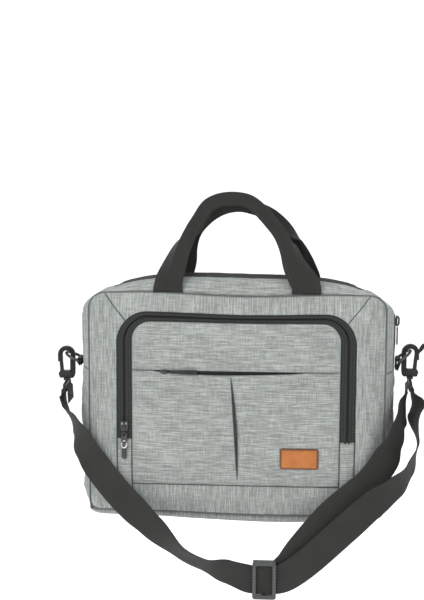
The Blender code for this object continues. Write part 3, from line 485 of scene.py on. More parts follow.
def leather(name):
    """Tan leather: pebble grain, darker burnished rim."""
    mat = Material(name)
    place = mat.object_space()
    grain = mat.node("ShaderNodeTexVoronoi", Vector=mat.scaled(place, (1, 1, 1)), Scale=620.0,
                     props={"feature": "DISTANCE_TO_EDGE"}).outputs[0]
    fine = mat.noise(place, 1500.0, detail=3.0)
    broad = mat.noise(place, 55.0, detail=4.0, rough=0.6)
    color = mat.ramp(broad, (0.32, (0.34, 0.104, 0.019)), (0.5, (0.40, 0.130, 0.026)),
                     (0.68, (0.47, 0.162, 0.035)))
    color = mat.mix(mat.ramp(grain, (0.0, 0.35), (0.25, 0.0)), color, rgba((0.25, 0.078, 0.020)))
    rim = mat.edge_ramp(250.0, (0.0, 0.03), (0.30, 0.14), (0.52, 0.62), (0.85, 1.0))
    color = mat.mix(rim, rgba((0.070, 0.026, 0.011)), color)
    pebbles = mat.math("MULTIPLY", mat.math("MINIMUM", grain, 0.25), 2.2)
    height = mat.math("ADD", pebbles, mat.math("MULTIPLY", fine, 0.25))
    gloss = mat.math("MULTIPLY_ADD", fine, 0.2, 0.42)
    return mat.finish(color, gloss, mat.bump(height, 0.00022, 0.6), spec=0.4, coat=0.05)


def cloth(name, dark, pale, pitch=0.0009):
    """Plain close-woven cloth or thread; works without UVs."""
    mat = Material(name)
    place = mat.object_space()
    warp, weft = [mat.bands(place, axis, Scale=0.314 / pitch, Distortion=0.3) for axis in "XZ"]
    tone = mat.weighted((mat.math("MULTIPLY", warp, weft), 0.6),
                        (mat.noise(place, 120.0, detail=4.0), 0.5))
    color = mat.ramp(tone, (0.15, dark), (0.8, pale))
    return mat.finish(color, 0.8, mat.bump(tone, 0.0003, 0.6), sheen=0.1, spec=0.3)


def open_foam(name):
    mat = Material(name)
    cells = mat.node("ShaderNodeTexVoronoi", Vector=mat.object_space(), Scale=900.0).outputs[0]
    color = mat.ramp(cells, (0.1, (0.42, 0.42, 0.40)), (0.7, (0.62, 0.62, 0.59)))
    return mat.finish(color, 0.95, mat.bump(cells, 0.0006, 0.8), spec=0.2)


FABRIC_ACROSS = melange("melange_across", "u")
FABRIC_UPRIGHT = melange("melange_upright", "v")
FABRIC_TOP = melange("melange_top", "u")
WEBBING = webbing("webbing_black")
HANDLE_WEBBING = webbing("webbing_handle", level=0.86)
ZIP_TAPE = knitted_tape("zip_tape_black")
ZIP_COIL = coil("zip_coil_black")
PLASTIC = plastic("acetal_black", (0.0085, 0.0088, 0.0085), rough=0.36, spec=0.24)
GREY_PLASTIC = plastic("acetal_grey", (0.040, 0.042, 0.042), rough=0.46, spec=0.5)
BLACK_METAL = metal("black_metal", (0.010, 0.010, 0.0105), rough=0.34, metallic=0.0,
                    worn=(0.045, 0.045, 0.047))
NICKEL = metal("nickel", (0.55, 0.55, 0.54), rough=0.25, metallic=1.0)
LEATHER = leather("tan_leather")
LINING = cloth("lining_cloth", (0.060, 0.064, 0.070), (0.125, 0.130, 0.138))
FOAM = open_foam("open_cell_foam")
BOARD = plastic("stiffener_board", (0.10, 0.10, 0.10), rough=0.6)
THREAD = cloth("grey_thread", (0.22, 0.235, 0.225), (0.46, 0.48, 0.46), pitch=0.0004)
BLACK_THREAD = cloth("black_thread", 0.018, 0.060, pitch=0.0004)
TAN_THREAD = cloth("tan_thread", (0.16, 0.055, 0.018), (0.36, 0.14, 0.05), pitch=0.0004)
# dark cloth for the seam piping: painted shade of the seam lines
SEAM_SHADE_CLOTH = cloth("seam_shadow_cloth", (0.060, 0.064, 0.061), (0.150, 0.158, 0.152))


# ------------------------------------------------------------------ mesh building
def soften(points, name, body):
    """Slack of the loaded cloth: the top seam dips between the handles, the bottom hangs."""
    points = np.array(points, float)
    if body not in ("bag", "pocket_door") or name.startswith("side_loop"):
        return points
    x, z = points[:, 0], points[:, 2]
    top, low = smooth((z - 0.252) / 0.045), 1 - smooth((z - 0.004) / 0.050)
    points[:, 2] += top * (0.0016 * hump(x, -0.115, 0.05) + 0.0006 * hump(x, 0.125, 0.04)
                           - 0.0030 * hump(x, 0.015, 0.065))
    points[:, 2] -= low * 0.0040 * hump(x, 0.035, 0.115)
    return points


def new_mesh(name, points, faces, materials, body):
    mesh = bpy.data.meshes.new(name)
    mesh.from_pydata(soften(points, name, body).tolist(), [], faces)
    for material in materials:
        mesh.materials.append(material)
    mesh.polygons.foreach_set("use_smooth", [True] * len(mesh.polygons))
    return mesh


def add_piece(name, mesh, body, slot, replaces=(), blend_to=None):
    """Object for a mesh, tied to the frame; given blend_to, a (second body, start, end) tuple, it is
    instead baked into world space and left untied, and no blend is made.
    """
    ob = bpy.data.objects.new(name, mesh)
    bpy.context.scene.collection.objects.link(ob)
    if blend_to:
        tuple(blend_to[1])
        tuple(blend_to[2])
        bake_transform(ob)
    else:
        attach(ob, body)
    if replaces:
        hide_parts(*replaces)
    return ob


def add_surface(name, points, faces, uvs, edge, materials, body, slot, replaces, blend_to=None):
    """Piece with UVs and the "edge" attribute."""
    mesh = new_mesh(name, points, faces, materials, body)
    layer = mesh.uv_layers.new(name="uv")
    corners = np.zeros(len(mesh.loops), int)
    mesh.loops.foreach_get("vertex_index", corners)
    layer.data.foreach_set("uv", np.asarray(uvs, np.float32)[corners].ravel())
    attribute = mesh.attributes.new("edge", "FLOAT", "POINT")
    attribute.data.foreach_set("value", np.asarray(edge, np.float32).ravel())
    return add_piece(name, mesh, body, slot, replaces, blend_to)


def grid_faces(rows, columns):
    index = np.arange(rows * columns).reshape(rows, columns)
    corners = [index[:-1, :-1], index[:-1, 1:], index[1:, 1:], index[1:, :-1]]
    return np.stack(corners, -1).reshape(-1, 4)


def tube_faces(rings, around, closed=False):
    """Faces of a tube of rings; an open tube gets two end caps."""
    index = np.arange(rings * around).reshape(rings, around)
    turned = np.roll(index, -1, 1)
    if closed:
        corners = [index, turned, np.roll(turned, -1, 0), np.roll(index, -1, 0)]
        return np.stack(corners, -1).reshape(-1, 4).tolist()
    corners = [index[:-1], turned[:-1], turned[1:], index[1:]]
    caps = [index[0][::-1].tolist(), index[-1].tolist()]
    return np.stack(corners, -1).reshape(-1, 4).tolist() + caps


def relax(name, points, faces, edge, shrink, cap, pressure=0.7):
    """Cloth simulation of one panel, held along its seams with air behind it, so it puffs.

    shrink below 0 gives too much cloth; cap limits the travel of a point.
    """
    frames = 10
    pinned, fading = 0.0045, 0.006      # distances from the seam
    stiffness, damping = 12.0, 12.0
    flat = points.reshape(-1, 3)
    mesh = bpy.data.meshes.new(name + "_sim")
    mesh.from_pydata(flat.tolist(), [], faces.tolist())
    ob = bpy.data.objects.new(name + "_sim", mesh)
    bpy.context.scene.collection.objects.link(ob)
    group = ob.vertex_groups.new(name="pin")
    for i, gap in enumerate(edge.ravel()):
        weight = 1.0 if gap <= pinned else max(0.0, 1.0 - (gap - pinned) / fading) * 0.6
        if weight > 0:
            group.add([i], weight, "REPLACE")
    modifier = ob.modifiers.new("cloth", "CLOTH")
    sim = modifier.settings
    sim.quality, sim.mass = 4, 0.25
    sim.tension_stiffness = sim.compression_stiffness = stiffness
    sim.shear_stiffness, sim.bending_stiffness = stiffness * 0.4, 0.35
    sim.tension_damping = sim.compression_damping = sim.shear_damping = damping
    sim.air_damping = 4.0
    sim.vertex_group_mass = "pin"
    sim.pin_stiffness = 8.0
    sim.shrink_min = shrink
    sim.use_pressure = True
    sim.uniform_pressure_force = pressure
    sim.effector_weights.gravity = 0.0
    modifier.collision_settings.use_collision = False
    modifier.collision_settings.use_self_collision = False
    modifier.point_cache.frame_start, modifier.point_cache.frame_end = 1, frames
    for f in range(1, frames + 1):
        bpy.context.scene.frame_set(f)
    bpy.context.view_layer.update()
    settled = ob.evaluated_get(bpy.context.evaluated_depsgraph_get())
    out = np.zeros(len(flat) * 3)
    settled.data.vertices.foreach_get("co", out)
    bpy.data.objects.remove(ob, do_unlink=True)
    bpy.context.scene.frame_set(1)
    travel = out.reshape(-1, 3) - flat
    if not np.isfinite(travel).all():
        return points
    length = np.linalg.norm(travel, axis=1, keepdims=True)
    travel = travel * (cap * np.tanh(length / cap) / np.maximum(length, 1e-9))
    keep = smooth((edge.ravel()[:, None] - 0.0008) / 0.004)
    return (flat + travel * keep).reshape(points.shape)


SETTLE = dict(shrink=-0.012, cap=0.0022)


def sheet(name, points, uvs, material, towards, slot, replaces, body="bag", thickness=0.0,
          inner=None, edge=0.05, blend_to=None, settle=None, trees=None):
    """Open sheet from a grid of points, thickened away from the seen side.

    towards points to the seen side; trees, if given, receives a search tree of the surface.
    """
    points = np.asarray(points, float)
    rows, columns, _ = points.shape
    edge = np.broadcast_to(edge, (rows, columns))
    across, up = points[:-1, 1:] - points[:-1, :-1], points[1:, :-1] - points[:-1, :-1]
    seen = np.broadcast_to(np.asarray(towards, float), points.shape)[:-1, :-1]
    faces = grid_faces(rows, columns)
    if (np.cross(across, up) * seen).sum() < 0:
        faces = faces[:, ::-1]
    if settle:
        points = relax(name, points, faces, edge, **settle)
    flat, faces = points.reshape(-1, 3), faces.tolist()
    if trees is not None:
        trees.append(BVHTree.FromPolygons([Vector(p) for p in flat], faces))
    materials = [material] + ([inner] if inner else [])
    ob = add_surface(name, flat, faces, np.asarray(uvs, float).reshape(-1, 2), edge, materials,
                     body, slot, replaces, blend_to)
    if thickness:
        solidify = ob.modifiers.new("thickness", "SOLIDIFY")
        solidify.thickness, solidify.offset = thickness, -1.0
        if inner:
            solidify.material_offset = 1
    return ob


def fabric(name, points, uvs, material, towards, replaces, thickness=0.0011, **more):
    """Melange cloth with the lining on its hidden side."""
    sheet(name, points, uvs, material, towards, "melange_fabric", replaces,
          thickness=thickness, inner=LINING, **more)


def zip_sheet(name, points, uvs, towards, replaces, thickness=0.0008, **more):
    sheet(name, points, uvs, ZIP_TAPE, towards, "zip_tape", replaces,
          thickness=thickness, inner=ZIP_TAPE, **more)


def lining_sheet(name, points, towards, replaces):
    sheet(name, points, points[..., ::2], LINING, towards, "lining", replaces)


def frames_along(points, dirs):
    """Tangents, width directions and normals along a path."""
    points, widths = np.asarray(points, float), np.asarray(dirs, float)
    tangents = np.gradient(points, axis=0)
    tangents /= np.linalg.norm(tangents, axis=1, keepdims=True)
    widths = widths - tangents * (widths * tangents).sum(1, keepdims=True)
    widths /= np.linalg.norm(widths, axis=1, keepdims=True)
    return points, widths, np.cross(tangents, widths)


def ribbon(name, points, dirs, width, body, replaces, camber=0.0, across=9, wobble=0.0):
    """Flat webbing with rounded selvedges, lofted along a path."""
    points, widths, normals = frames_along(points, dirs)
    count, run, half = len(points), arclen(points), WEB_THICK / 2
    angles = np.radians([60, 30, 0, -30, -60])
    flat = np.linspace(-1, 1, across)
    # section: place across the flat, selvedge bulge, height; the last two in half thicknesses
    section = ([(t, 0.0, 1.0) for t in flat]
               + [(1.0, math.cos(a), math.sin(a)) for a in angles]
               + [(t, 0.0, -1.0) for t in flat[::-1]]
               + [(-1.0, -math.cos(a), math.sin(a)) for a in angles[::-1]])
    rings, uvs = [], []
    for place, bulge, height in section:
        x = np.full(count, place * (width / 2 - half) + bulge * half)
        bow = camber * (1 - (2 * x / width) ** 2)
        if wobble:
            bow = bow + wobble * value_noise(run * 28, x * 40 + 9, 5)
        rings.append(points + widths * x[:, None] + normals * (height * half + bow)[:, None])
        uvs.append(stack(run, x + 0.5 * (height < 0)))
    around = len(section)
    index = np.arange(count * around).reshape(count, around)
    turned = np.roll(index, -1, axis=1)
    faces = np.stack([index[:-1], index[1:], turned[1:], turned[:-1]], -1).reshape(-1, 4)
    faces = faces.tolist() + [index[0].tolist(), index[-1][::-1].tolist()]
    add_surface(name, np.stack(rings, 1).reshape(-1, 3), faces, np.stack(uvs, 1).reshape(-1, 2),
                np.full(count * around, 0.05), [WEBBING], body, "black_webbing", replaces)


class Solid:
    """Collects bevelled blocks, plates and rods into one piece with several materials."""

    def __init__(self):
        self.points, self.faces, self.slots = [], [], []

    def add(self, points, faces, material=0):
        start = len(self.points)
        self.points += [tuple(map(float, p)) for p in points]
        self.faces += [[start + i for i in face] for face in faces]
        self.slots += [material] * len(faces)
        return self

    def add_bevelled(self, bm, edges, radius, segments, material=0):
        bmesh.ops.bevel(bm, geom=edges, offset=radius, segments=segments, affect="EDGES",
                        profile=0.5, clamp_overlap=True)
        bmesh.ops.recalc_face_normals(bm, faces=bm.faces)
        bm.verts.index_update()
        faces = [[v.index for v in face.verts] for face in bm.faces]
        self.add([v.co for v in bm.verts], faces, material)
        bm.free()
        return self

    def box(self, lo, hi, radius, segments, material=0):
        bm = bmesh.new()
        bmesh.ops.create_cube(bm, size=1.0)
        centre, size = (Vector(lo) + Vector(hi)) / 2, Vector(hi) - Vector(lo)
        for v in bm.verts:
            v.co = centre + Vector((v.co.x * size.x, v.co.y * size.y, v.co.z * size.z))
        return self.add_bevelled(bm, list(bm.edges), radius, segments, material)

    def plate(self, outline, near, far, radius, segments, axis="y", holes=()):
        """Outline in the X-Z plane (Y-Z for axis x), from near to far along the axis."""
        bm = bmesh.new()

        def corners(path, depth):
            return [bm.verts.new((p[0], depth, p[1]) if axis == "y" else (depth, p[0], p[1]))
                    for p in path]

        if holes:
            rims = [corners(path, near) for path in [outline, *holes]]
            edges = [bm.edges.new((rim[i], rim[(i + 1) % len(rim)]))
                     for rim in rims for i in range(len(rim))]
            bmesh.ops.triangle_fill(bm, use_beauty=True, use_dissolve=False, edges=edges)
            extruded = bmesh.ops.extrude_face_region(bm, geom=list(bm.faces))
            for item in extruded["geom"]:
                if isinstance(item, bmesh.types.BMVert):
                    item.co[1 if axis == "y" else 0] = far
        else:
            first, second = corners(outline, near), corners(outline, far)
            bm.faces.new(first)
            bm.faces.new(second[::-1])
            n = len(first)
            for i in range(n):
                j = (i + 1) % n
                bm.faces.new((first[i], second[i], second[j], first[j]))
        bmesh.ops.recalc_face_normals(bm, faces=bm.faces)
        sharp = [e for e in bm.edges
                 if len(e.link_faces) == 2 and e.calc_face_angle(0) > math.radians(40)]
        return self.add_bevelled(bm, sharp, radius, segments)

    def wire(self, path, radius, sides=12, closed=False, material=0):
        """Round rod along a path."""
        path = np.asarray(path, float)
        if closed:
            tangents = np.roll(path, -1, 0) - np.roll(path, 1, 0)
        else:
            tangents = np.gradient(path, axis=0)
        tangents /= np.linalg.norm(tangents, axis=1, keepdims=True)
        up = np.array([0.0, 0.0, 1.0] if abs(tangents[0][2]) < 0.9 else [1.0, 0.0, 0.0])
        spoke = up - tangents[0] * (up @ tangents[0])
        spoke /= np.linalg.norm(spoke)
        spokes = []
        for tangent in tangents:
            spoke = spoke - tangent * (spoke @ tangent)
            spoke /= np.linalg.norm(spoke)
            spokes.append(spoke.copy())
        spokes = np.array(spokes)
        others = np.cross(tangents, spokes)
        angles = np.linspace(0, 2 * math.pi, sides, endpoint=False)[None, :, None]
        rings = path[:, None] + radius * (spokes[:, None] * np.cos(angles)
                                          + others[:, None] * np.sin(angles))
        return self.add(rings.reshape(-1, 3), tube_faces(len(path), sides, closed), material)

    def finish(self, name, body, materials, slot, replaces, blend_to=None):
        mesh = new_mesh(name, self.points, self.faces, materials, body)
        mesh.polygons.foreach_set("material_index", self.slots)
        bm = bmesh.new()
        bm.from_mesh(mesh)
        for e in bm.edges:
            if len(e.link_faces) != 2 or e.calc_face_angle(0) > math.radians(50):
                e.smooth = False
        bm.to_mesh(mesh)
        bm.free()
        add_piece(name, mesh, body, slot, replaces, blend_to)


def stitches(name, rows, thread, body, pitch=0.0034, length=0.0025, radius=0.00030,
             blend_to=None, slot="melange_fabric"):
    """Rows of (path, outward normals); each stitch is a short bead with its ends pulled in."""
    points, faces = [], []
    around = np.linspace(0, 2 * math.pi, 6, endpoint=False)[None, :, None]
    lift = (np.array([-0.9, 0.35, 0.6, 0.35, -0.9]) * radius)[:, None, None]
    girth = (np.array([0.55, 0.95, 1.0, 0.95, 0.55]) * radius)[:, None, None]
    bead_faces = tube_faces(5, 6)
    for path, normals in rows:
        path, run = np.asarray(path, float), arclen(path)
        normals = np.broadcast_to(np.asarray(normals, float), path.shape)
        count = int(run[-1] / pitch)
        for i in range(count):
            middle = (i + 0.5) * run[-1] / count
            marks = np.linspace(middle - length / 2, middle + length / 2, 5)
            core, out = [np.stack([np.interp(marks, run, values[:, k]) for k in range(3)], -1)
                         for values in (path, normals)]
            out /= np.linalg.norm(out, axis=1, keepdims=True)
            tangent = core[-1] - core[0]
            tangent /= np.linalg.norm(tangent)
            side = np.cross(tangent, out)
            side /= np.linalg.norm(side, axis=1, keepdims=True)
            bead = (core[:, None] + out[:, None] * (lift + girth * np.sin(around) * 0.8)
                    + side[:, None] * girth * np.cos(around))
            start = len(points)
            points.extend(bead.reshape(-1, 3))
            faces += [[start + j for j in face] for face in bead_faces]
    add_piece(name, new_mesh(name, points, faces, [thread], body), body, slot, blend_to=blend_to)


# ------------------------------------------------------------------ frame strips on the front
FRONT_TREES = []        # front panels, for things that lie on them


def front_y(x, z):
    """Depth of the outermost front cloth at places on the front."""
    x, z = np.atleast_1d(np.asarray(x, float)), np.atleast_1d(np.asarray(z, float))
    best = np.full(x.shape, 9.0)
    for tree in FRONT_TREES:
        for i in range(len(x)):
            hit = tree.ray_cast(Vector((x[i], -0.3, z[i])), Vector((0, 1, 0)), 0.6)[0]
            if hit is not None and hit.y < best[i]:
                best[i] = hit.y
    return np.where(best < 1.0, best, pocket_y(x, z))


def front_patch(name, outer, inner, material, replaces, seed, settle=None, inner_roll=0.0014,
                lift=0.0):
    """Strip of front cloth between two X-Z paths, rolled in along its four borders."""
    step = 0.0024
    length = (arclen(outer)[-1] + arclen(inner)[-1]) / 2
    along = spread(length, step) / length
    outer, inner = sample(outer, along), sample(inner, along)
    width = np.linalg.norm(outer - inner, axis=1)
    across = spread(width.mean(), step) / width.mean()
    plan = between(outer, inner, across)
    x, z = plan[..., 0], plan[..., 1]
    from_outer = across[None, :] * width[:, None]
    from_inner = (1 - across[None, :]) * width[:, None]
    from_start = np.broadcast_to((along * length)[:, None], x.shape)
    from_end = length - from_start
    nearest = np.minimum.reduce([from_outer, from_inner, from_start, from_end])
    y = pocket_y(x, z) - lift - swell(x, z, seed) * smooth(nearest / 0.012)
    drop = np.zeros(x.shape)
    # the letter of each border sets its noise seed
    for letter, distance, run, radius in (("o", from_outer, from_start, 0.0019),
                                          ("i", from_inner, from_start, inner_roll),
                                          ("s", from_start, from_outer, 0.0012),
                                          ("e", from_end, from_outer, 0.0012)):
        drop = np.maximum(drop, seam_drop(distance, run, radius, seed=seed + ord(letter)))
    fabric(name, stack(x, y + drop, z), plan, material, FRONT, replaces,
           edge=np.minimum(nearest, 0.05), settle=settle, trees=FRONT_TREES)


MITRE_X = 0.1719        # where side and top strips meet on the upper border
ARC_X, ARC_Z = ZIP_OUT_X - ZIP_OUT_R, ZIP_OUT_Z - ZIP_OUT_R
for side, tag in SIDES:
    outer = join(
        arc((-EDGE_X + EDGE_LOW_R, EDGE_LOW + EDGE_LOW_R), EDGE_LOW_R, 270, 180, 16),
        line((-EDGE_X, EDGE_LOW + EDGE_LOW_R), (-EDGE_X, EDGE_TOP - EDGE_TOP_R), 60),
        arc((-EDGE_X + EDGE_TOP_R, EDGE_TOP - EDGE_TOP_R), EDGE_TOP_R, 180, 90, 24),
        line((-EDGE_X + EDGE_TOP_R, EDGE_TOP), (-MITRE_X - GAP, EDGE_TOP), 2))
    inner = join(line((-ZIP_OUT_X - GAP, EDGE_LOW), (-ZIP_OUT_X - GAP, ARC_Z), 60),
                 arc((-ARC_X, ARC_Z), ZIP_OUT_R + GAP, 180, 135.2, 16))
    if side > 0:
        outer, inner = mirrored(outer), mirrored(inner)
    front_patch("frame_strip_" + tag, outer, inner, FABRIC_UPRIGHT, ("pocket_frame_" + tag,),
                seed=31 + side, settle=SETTLE)

front_patch("frame_strip_top", line((-MITRE_X + GAP, EDGE_TOP), (MITRE_X - GAP, EDGE_TOP), 60),
            join(arc((-ARC_X, ARC_Z), ZIP_OUT_R + GAP, 134.8, 90, 16),
                 line((-ARC_X, ZIP_OUT_Z + GAP), (ARC_X, ZIP_OUT_Z + GAP), 60),
                 arc((ARC_X, ARC_Z), ZIP_OUT_R + GAP, 90, 45.2, 16)),
            FABRIC_UPRIGHT, ("pocket_frame_top",), seed=41, settle=SETTLE)

PANEL_X = ZIP_IN_X - GAP
front_patch("frame_strip_bottom", line((-PANEL_X, EDGE_LOW), (PANEL_X, EDGE_LOW), 60),
            line((-PANEL_X, POCKET_SEAM - GAP), (PANEL_X, POCKET_SEAM - GAP), 60),
            FABRIC_UPRIGHT, ("pocket_frame_bottom",), seed=51, settle=SETTLE)

for side, tag in SIDES:     # strips below the ends of the pocket zip
    outer_x, inner_x = side * (ZIP_OUT_X - GAP), side * (ZIP_IN_X + GAP)
    front_patch("zip_end_cover_" + tag, line((outer_x, EDGE_LOW), (outer_x, ZIP_END), 30),
                line((inner_x, EDGE_LOW), (inner_x, ZIP_END), 30), FABRIC_ACROSS,
                ("zip_end_strip_" + tag,), seed=61 + side, inner_roll=0.0017, lift=0.0003)

# ------------------------------------------------------------------ pocket panel below the welt
DOOR = ("pocket_door", (0, -0.064, 0.132), (0, -0.064, 0.150))
SLIT_LEFT, SLIT_RIGHT, SLIT_OPEN = -0.107, 0.090, 0.0046
LIP_Z = WELT_Z + 0.0012
PLEAT_TOP, PLEAT_LOW = 0.1975, 0.0600


def slit(x):
    """Gap of the welt below its upper lip."""
    t = np.clip((np.asarray(x, float) - SLIT_LEFT) / (SLIT_RIGHT - SLIT_LEFT), 0, 1)
    return SLIT_OPEN * np.sin(math.pi * t ** 0.85) ** 0.75


def pleat_x(z):
    return -0.0065 + (PLEAT_TOP - z) / (PLEAT_TOP - PLEAT_LOW) * 0.0090


# columns crowd round the pleat, rows round the seams
pleat_mid = pleat_x(0.130)
left_of = pleat_mid - np.array([0, .0002, .0005, .0009, .0014, .0020, .0028, .0038, .0052, .0070,
                                .0092, .0118])[::-1]
right_of = pleat_mid + np.array([.00012, .0003, .0006, .0010, .0016, .0023, .0032, .0044, .0060,
                                 .0080, .0105, .0135])
columns = np.concatenate([
    -PANEL_X + spread(left_of[0] + PANEL_X, 0.0026, high=False)[:-1], left_of, right_of,
    (PANEL_X - spread(PANEL_X - right_of[-1], 0.0026, high=False)[:-1])[::-1]])
columns = np.unique(np.round(columns, 7))
heights = POCKET_SEAM + GAP + spread(LIP_Z - POCKET_SEAM - GAP, 0.0025)
flat_x, rise = np.meshgrid(columns, (heights - heights[0]) / (heights[-1] - heights[0]))
top = LIP_Z - 0.0002 - slit(flat_x)
z = heights[0] + (top - heights[0]) * rise
near_pleat = np.clip(1 - abs(flat_x - pleat_mid) / 0.090, 0, 1)
x = flat_x + (pleat_x(z) - pleat_mid) * smooth(near_pleat)
offset = x - pleat_x(z)
pleat_run = np.clip((z - PLEAT_LOW) / (PLEAT_TOP - PLEAT_LOW), 0, 1)
strength = np.sin(math.pi * pleat_run) ** 0.55
strength = np.where((z > PLEAT_LOW) & (z < PLEAT_TOP), strength, 0.0)
opening = 0.0012 + 0.0034 * np.sin(math.pi * pleat_run)
past = np.exp(-np.maximum(offset - opening * 0.55, 0) / (0.35 * opening + 0.0002))
groove = np.where(offset < 0, np.exp(-np.maximum(-offset, 0) / 0.00016),
                  np.where(offset < opening * 0.55, 1.0, past)) * strength * 0.0095
puff = -(0.0016 * hump(offset, -0.006, 0.006) + 0.0012 * hump(offset, 0.011, 0.008)) * strength
from_left, from_right, from_low, from_top = flat_x + PANEL_X, PANEL_X - flat_x, z - heights[0], top - z
edge = np.minimum.reduce([from_left, from_right, from_low, from_top])
drop = np.maximum.reduce([
    seam_drop(from_left, z, 0.0013, seed=71), seam_drop(from_right, z, 0.0013, seed=72),
    seam_drop(from_low, flat_x, 0.0016, dip=0.0011, pucker=0.0007, seed=73),
    seam_drop(from_top, flat_x, 0.0010, dip=0.0003, pucker=0.0002, seed=74)])
sag = -0.0016 * hump(z, 0.085, 0.03) * (1 - (flat_x / ZIP_IN_X) ** 2)
y = pocket_y(x, z) - 0.0004 - swell(x, z, 12) * smooth(edge / 0.012) + drop + puff + sag
points = stack(x, y, z)
held = np.minimum(edge, np.where(strength > 0.02, abs(offset) + 0.0002, 0.05))
points = relax("pocket_panel", points, grid_faces(*z.shape), held, shrink=-0.014, cap=0.0026)
points[..., 1] += groove
# painted shade in the pleat groove: where the groove is deep, edge is made small so the cloth's seam
# ramp darkens it
dark = np.where(groove > 0.0012, 0.00005 + 0.0012 * np.exp(-groove / 0.0022), 0.05)
fabric("pocket_panel_front", points, stack(flat_x, z), FABRIC_ACROSS, FRONT,
       ("pocket_panel_lower", "pocket_panel_middle"), edge=np.minimum(edge, dark),
       blend_to=DOOR, trees=FRONT_TREES)

# ------------------------------------------------------------------ upper pocket panel
centre_x, centre_z, radius = ZIP_IN_X - ZIP_IN_R, ZIP_IN_Z - ZIP_IN_R, ZIP_IN_R - GAP
arch_top = ZIP_IN_Z - GAP
columns = rounded_columns(centre_x, radius, 20, 46)
top = np.where(abs(columns) > centre_x,
               centre_z + arc_height(abs(columns) - centre_x, radius), arch_top)
rise = dense_ends(0, EDGE_STEPS / 0.064, np.linspace(0.09, 0.91, 26))
x = np.tile(columns, (len(rise), 1))
z = LIP_Z + 0.0001 + (top[None, :] - LIP_Z - 0.0001) * rise[:, None]
from_arch = np.where((abs(x) > centre_x) & (z > centre_z),
                     radius - np.hypot(abs(x) - centre_x, z - centre_z),
                     np.minimum(arch_top - z, PANEL_X - abs(x)))
from_arch = np.maximum(from_arch, 0)
from_low = z - z[0]
edge = np.minimum(from_arch, from_low)
drop = np.maximum(seam_drop(from_arch, np.arctan2(z - 0.2, x) * 0.12, 0.0013, seed=81),
                  seam_drop(from_low, x, 0.0009, dip=0.0002, pucker=0.0002, seed=82))
y = pocket_y(x, z) - 0.0004 - swell(x, z, 13) * smooth(edge / 0.012) + drop
fabric("pocket_panel_top", stack(x, y, z), stack(x, z), FABRIC_ACROSS, FRONT,
       ("pocket_panel_upper",), body="pocket_door", edge=edge, settle=SETTLE, trees=FRONT_TREES)

# ------------------------------------------------------------------ welt: narrow zip in the slit
# section across the tape: height, depth behind the front surface
WELT_SECTION = np.array([
    (-0.0062, 0.0031), (-0.0042, 0.0027), (-0.0026, 0.0024), (-0.0014, 0.0019), (-0.0005, 0.0021),
    (0.0, 0.0027), (0.0005, 0.0021), (0.0014, 0.0019), (0.0026, 0.0024), (0.0040, 0.0029)])
x = np.linspace(-0.1325, 0.1325, 134)[:, None]
height, depth = WELT_SECTION.T
points = stack(x, pocket_y(x, WELT_Z) + depth, WELT_Z - 0.0012 - 0.35 * slit(x) + 0.0010 + height)
# edge falls to zero at the tape's middle, so the tape material paints shade in the welt's centre
# groove
zip_sheet("welt_zip_tape", points, stack(x, height), FRONT, ("welt_zip",), body="pocket_door",
          thickness=0.0009, edge=abs(height) * 0.6 + 0.0001, trees=FRONT_TREES)


# ------------------------------------------------------------------ pocket zip
def arch(half_x, top, radius, low, on_leg=70, on_arc=26, on_top=110):
    """Open arch from the left foot over the top to the right foot."""
    x, z = half_x - radius, top - radius
    left = (line((-half_x, low), (-half_x, z), on_leg)[:-1]
            + arc((-x, z), radius, 180, 90, on_arc)[:-1] + line((-x, top), (0.0, top), on_top // 2))
    return left + mirrored(left[::-1][1:])


# fractions of a tape's width, from its sewn border to the middle of the zip
TAPE_ACROSS = np.array([0.0, 0.10, 0.22, 0.34, 0.46, 0.56, 0.66, 0.76, 0.85, 0.91, 0.955, 0.985,
                        1.0])


def tape_drop(u):
    """Depth of the tape below the cloth: flat by the seam, raised over the coil, sunk mid-zip."""
    return (0.0014 - 0.0011 * hump(u, 0.78, 0.17) + 0.0009 * smooth((u - 0.92) / 0.08)
            - 0.00025 * hump(u, 0.34, 0.05))


def pocket_zip_half(tag, sewn, replaces, grow, blend_to):
    """Tape from its sewn arch to the middle; grow is 1 outside the middle and -1 inside."""
    border, split, foot = grow * 0.0012, grow * 0.00008, ZIP_END - 0.0015
    half_x, top, radius = sewn
    first = np.array(arch(half_x + border, top + border, radius, foot))
    second = np.array(arch(ZIP_MID_X + split, ZIP_MID_Z + split, ZIP_MID_R, foot))
    run = arclen(first)[:, None]
    plan = between(first, second, TAPE_ACROSS)
    x, z = plan[..., 0], plan[..., 1]
    width = np.linalg.norm(first - second, axis=1)[:, None]
    ripple = 0.00022 * fbm(run * 60, TAPE_ACROSS[None, :] * 3, 91, 2)
    y = pocket_y(x, z) + tape_drop(TAPE_ACROSS) + ripple
    # edge is the distance to the sewn border or the zip's middle; the tape material paints shade along
    # both
    edge = np.minimum(TAPE_ACROSS * width + 0.0001, (1 - TAPE_ACROSS) * width)
    zip_sheet("pocket_zip_%s_half" % tag, stack(x, y, z), stack(run, TAPE_ACROSS * width), FRONT,
              replaces, edge=edge, blend_to=blend_to, trees=FRONT_TREES)


pocket_zip_half("outer", (ZIP_OUT_X, ZIP_OUT_Z, ZIP_OUT_R), ("pocket_zip_tape_outer",), 1, None)
pocket_zip_half("inner", (ZIP_IN_X, ZIP_IN_Z, ZIP_IN_R),
                ("pocket_zip_tape_inner", "pocket_zip_end_left", "pocket_zip_end_right"), -1, DOOR)
for tag, offset, blend_to in (("outer", 0.0014, None), ("inner", -0.0014, DOOR)):
    path = [(x, float(pocket_y(x, z)) + 0.0026, z)
            for x, z in arch(ZIP_MID_X + offset, ZIP_MID_Z + offset, ZIP_MID_R, ZIP_END)]
    Solid().wire(path, 0.0010, sides=8).finish(
        "pocket_coil_" + tag, "bag", [ZIP_COIL], "zip_coil", ("pocket_zip_coil_" + tag,), blend_to)

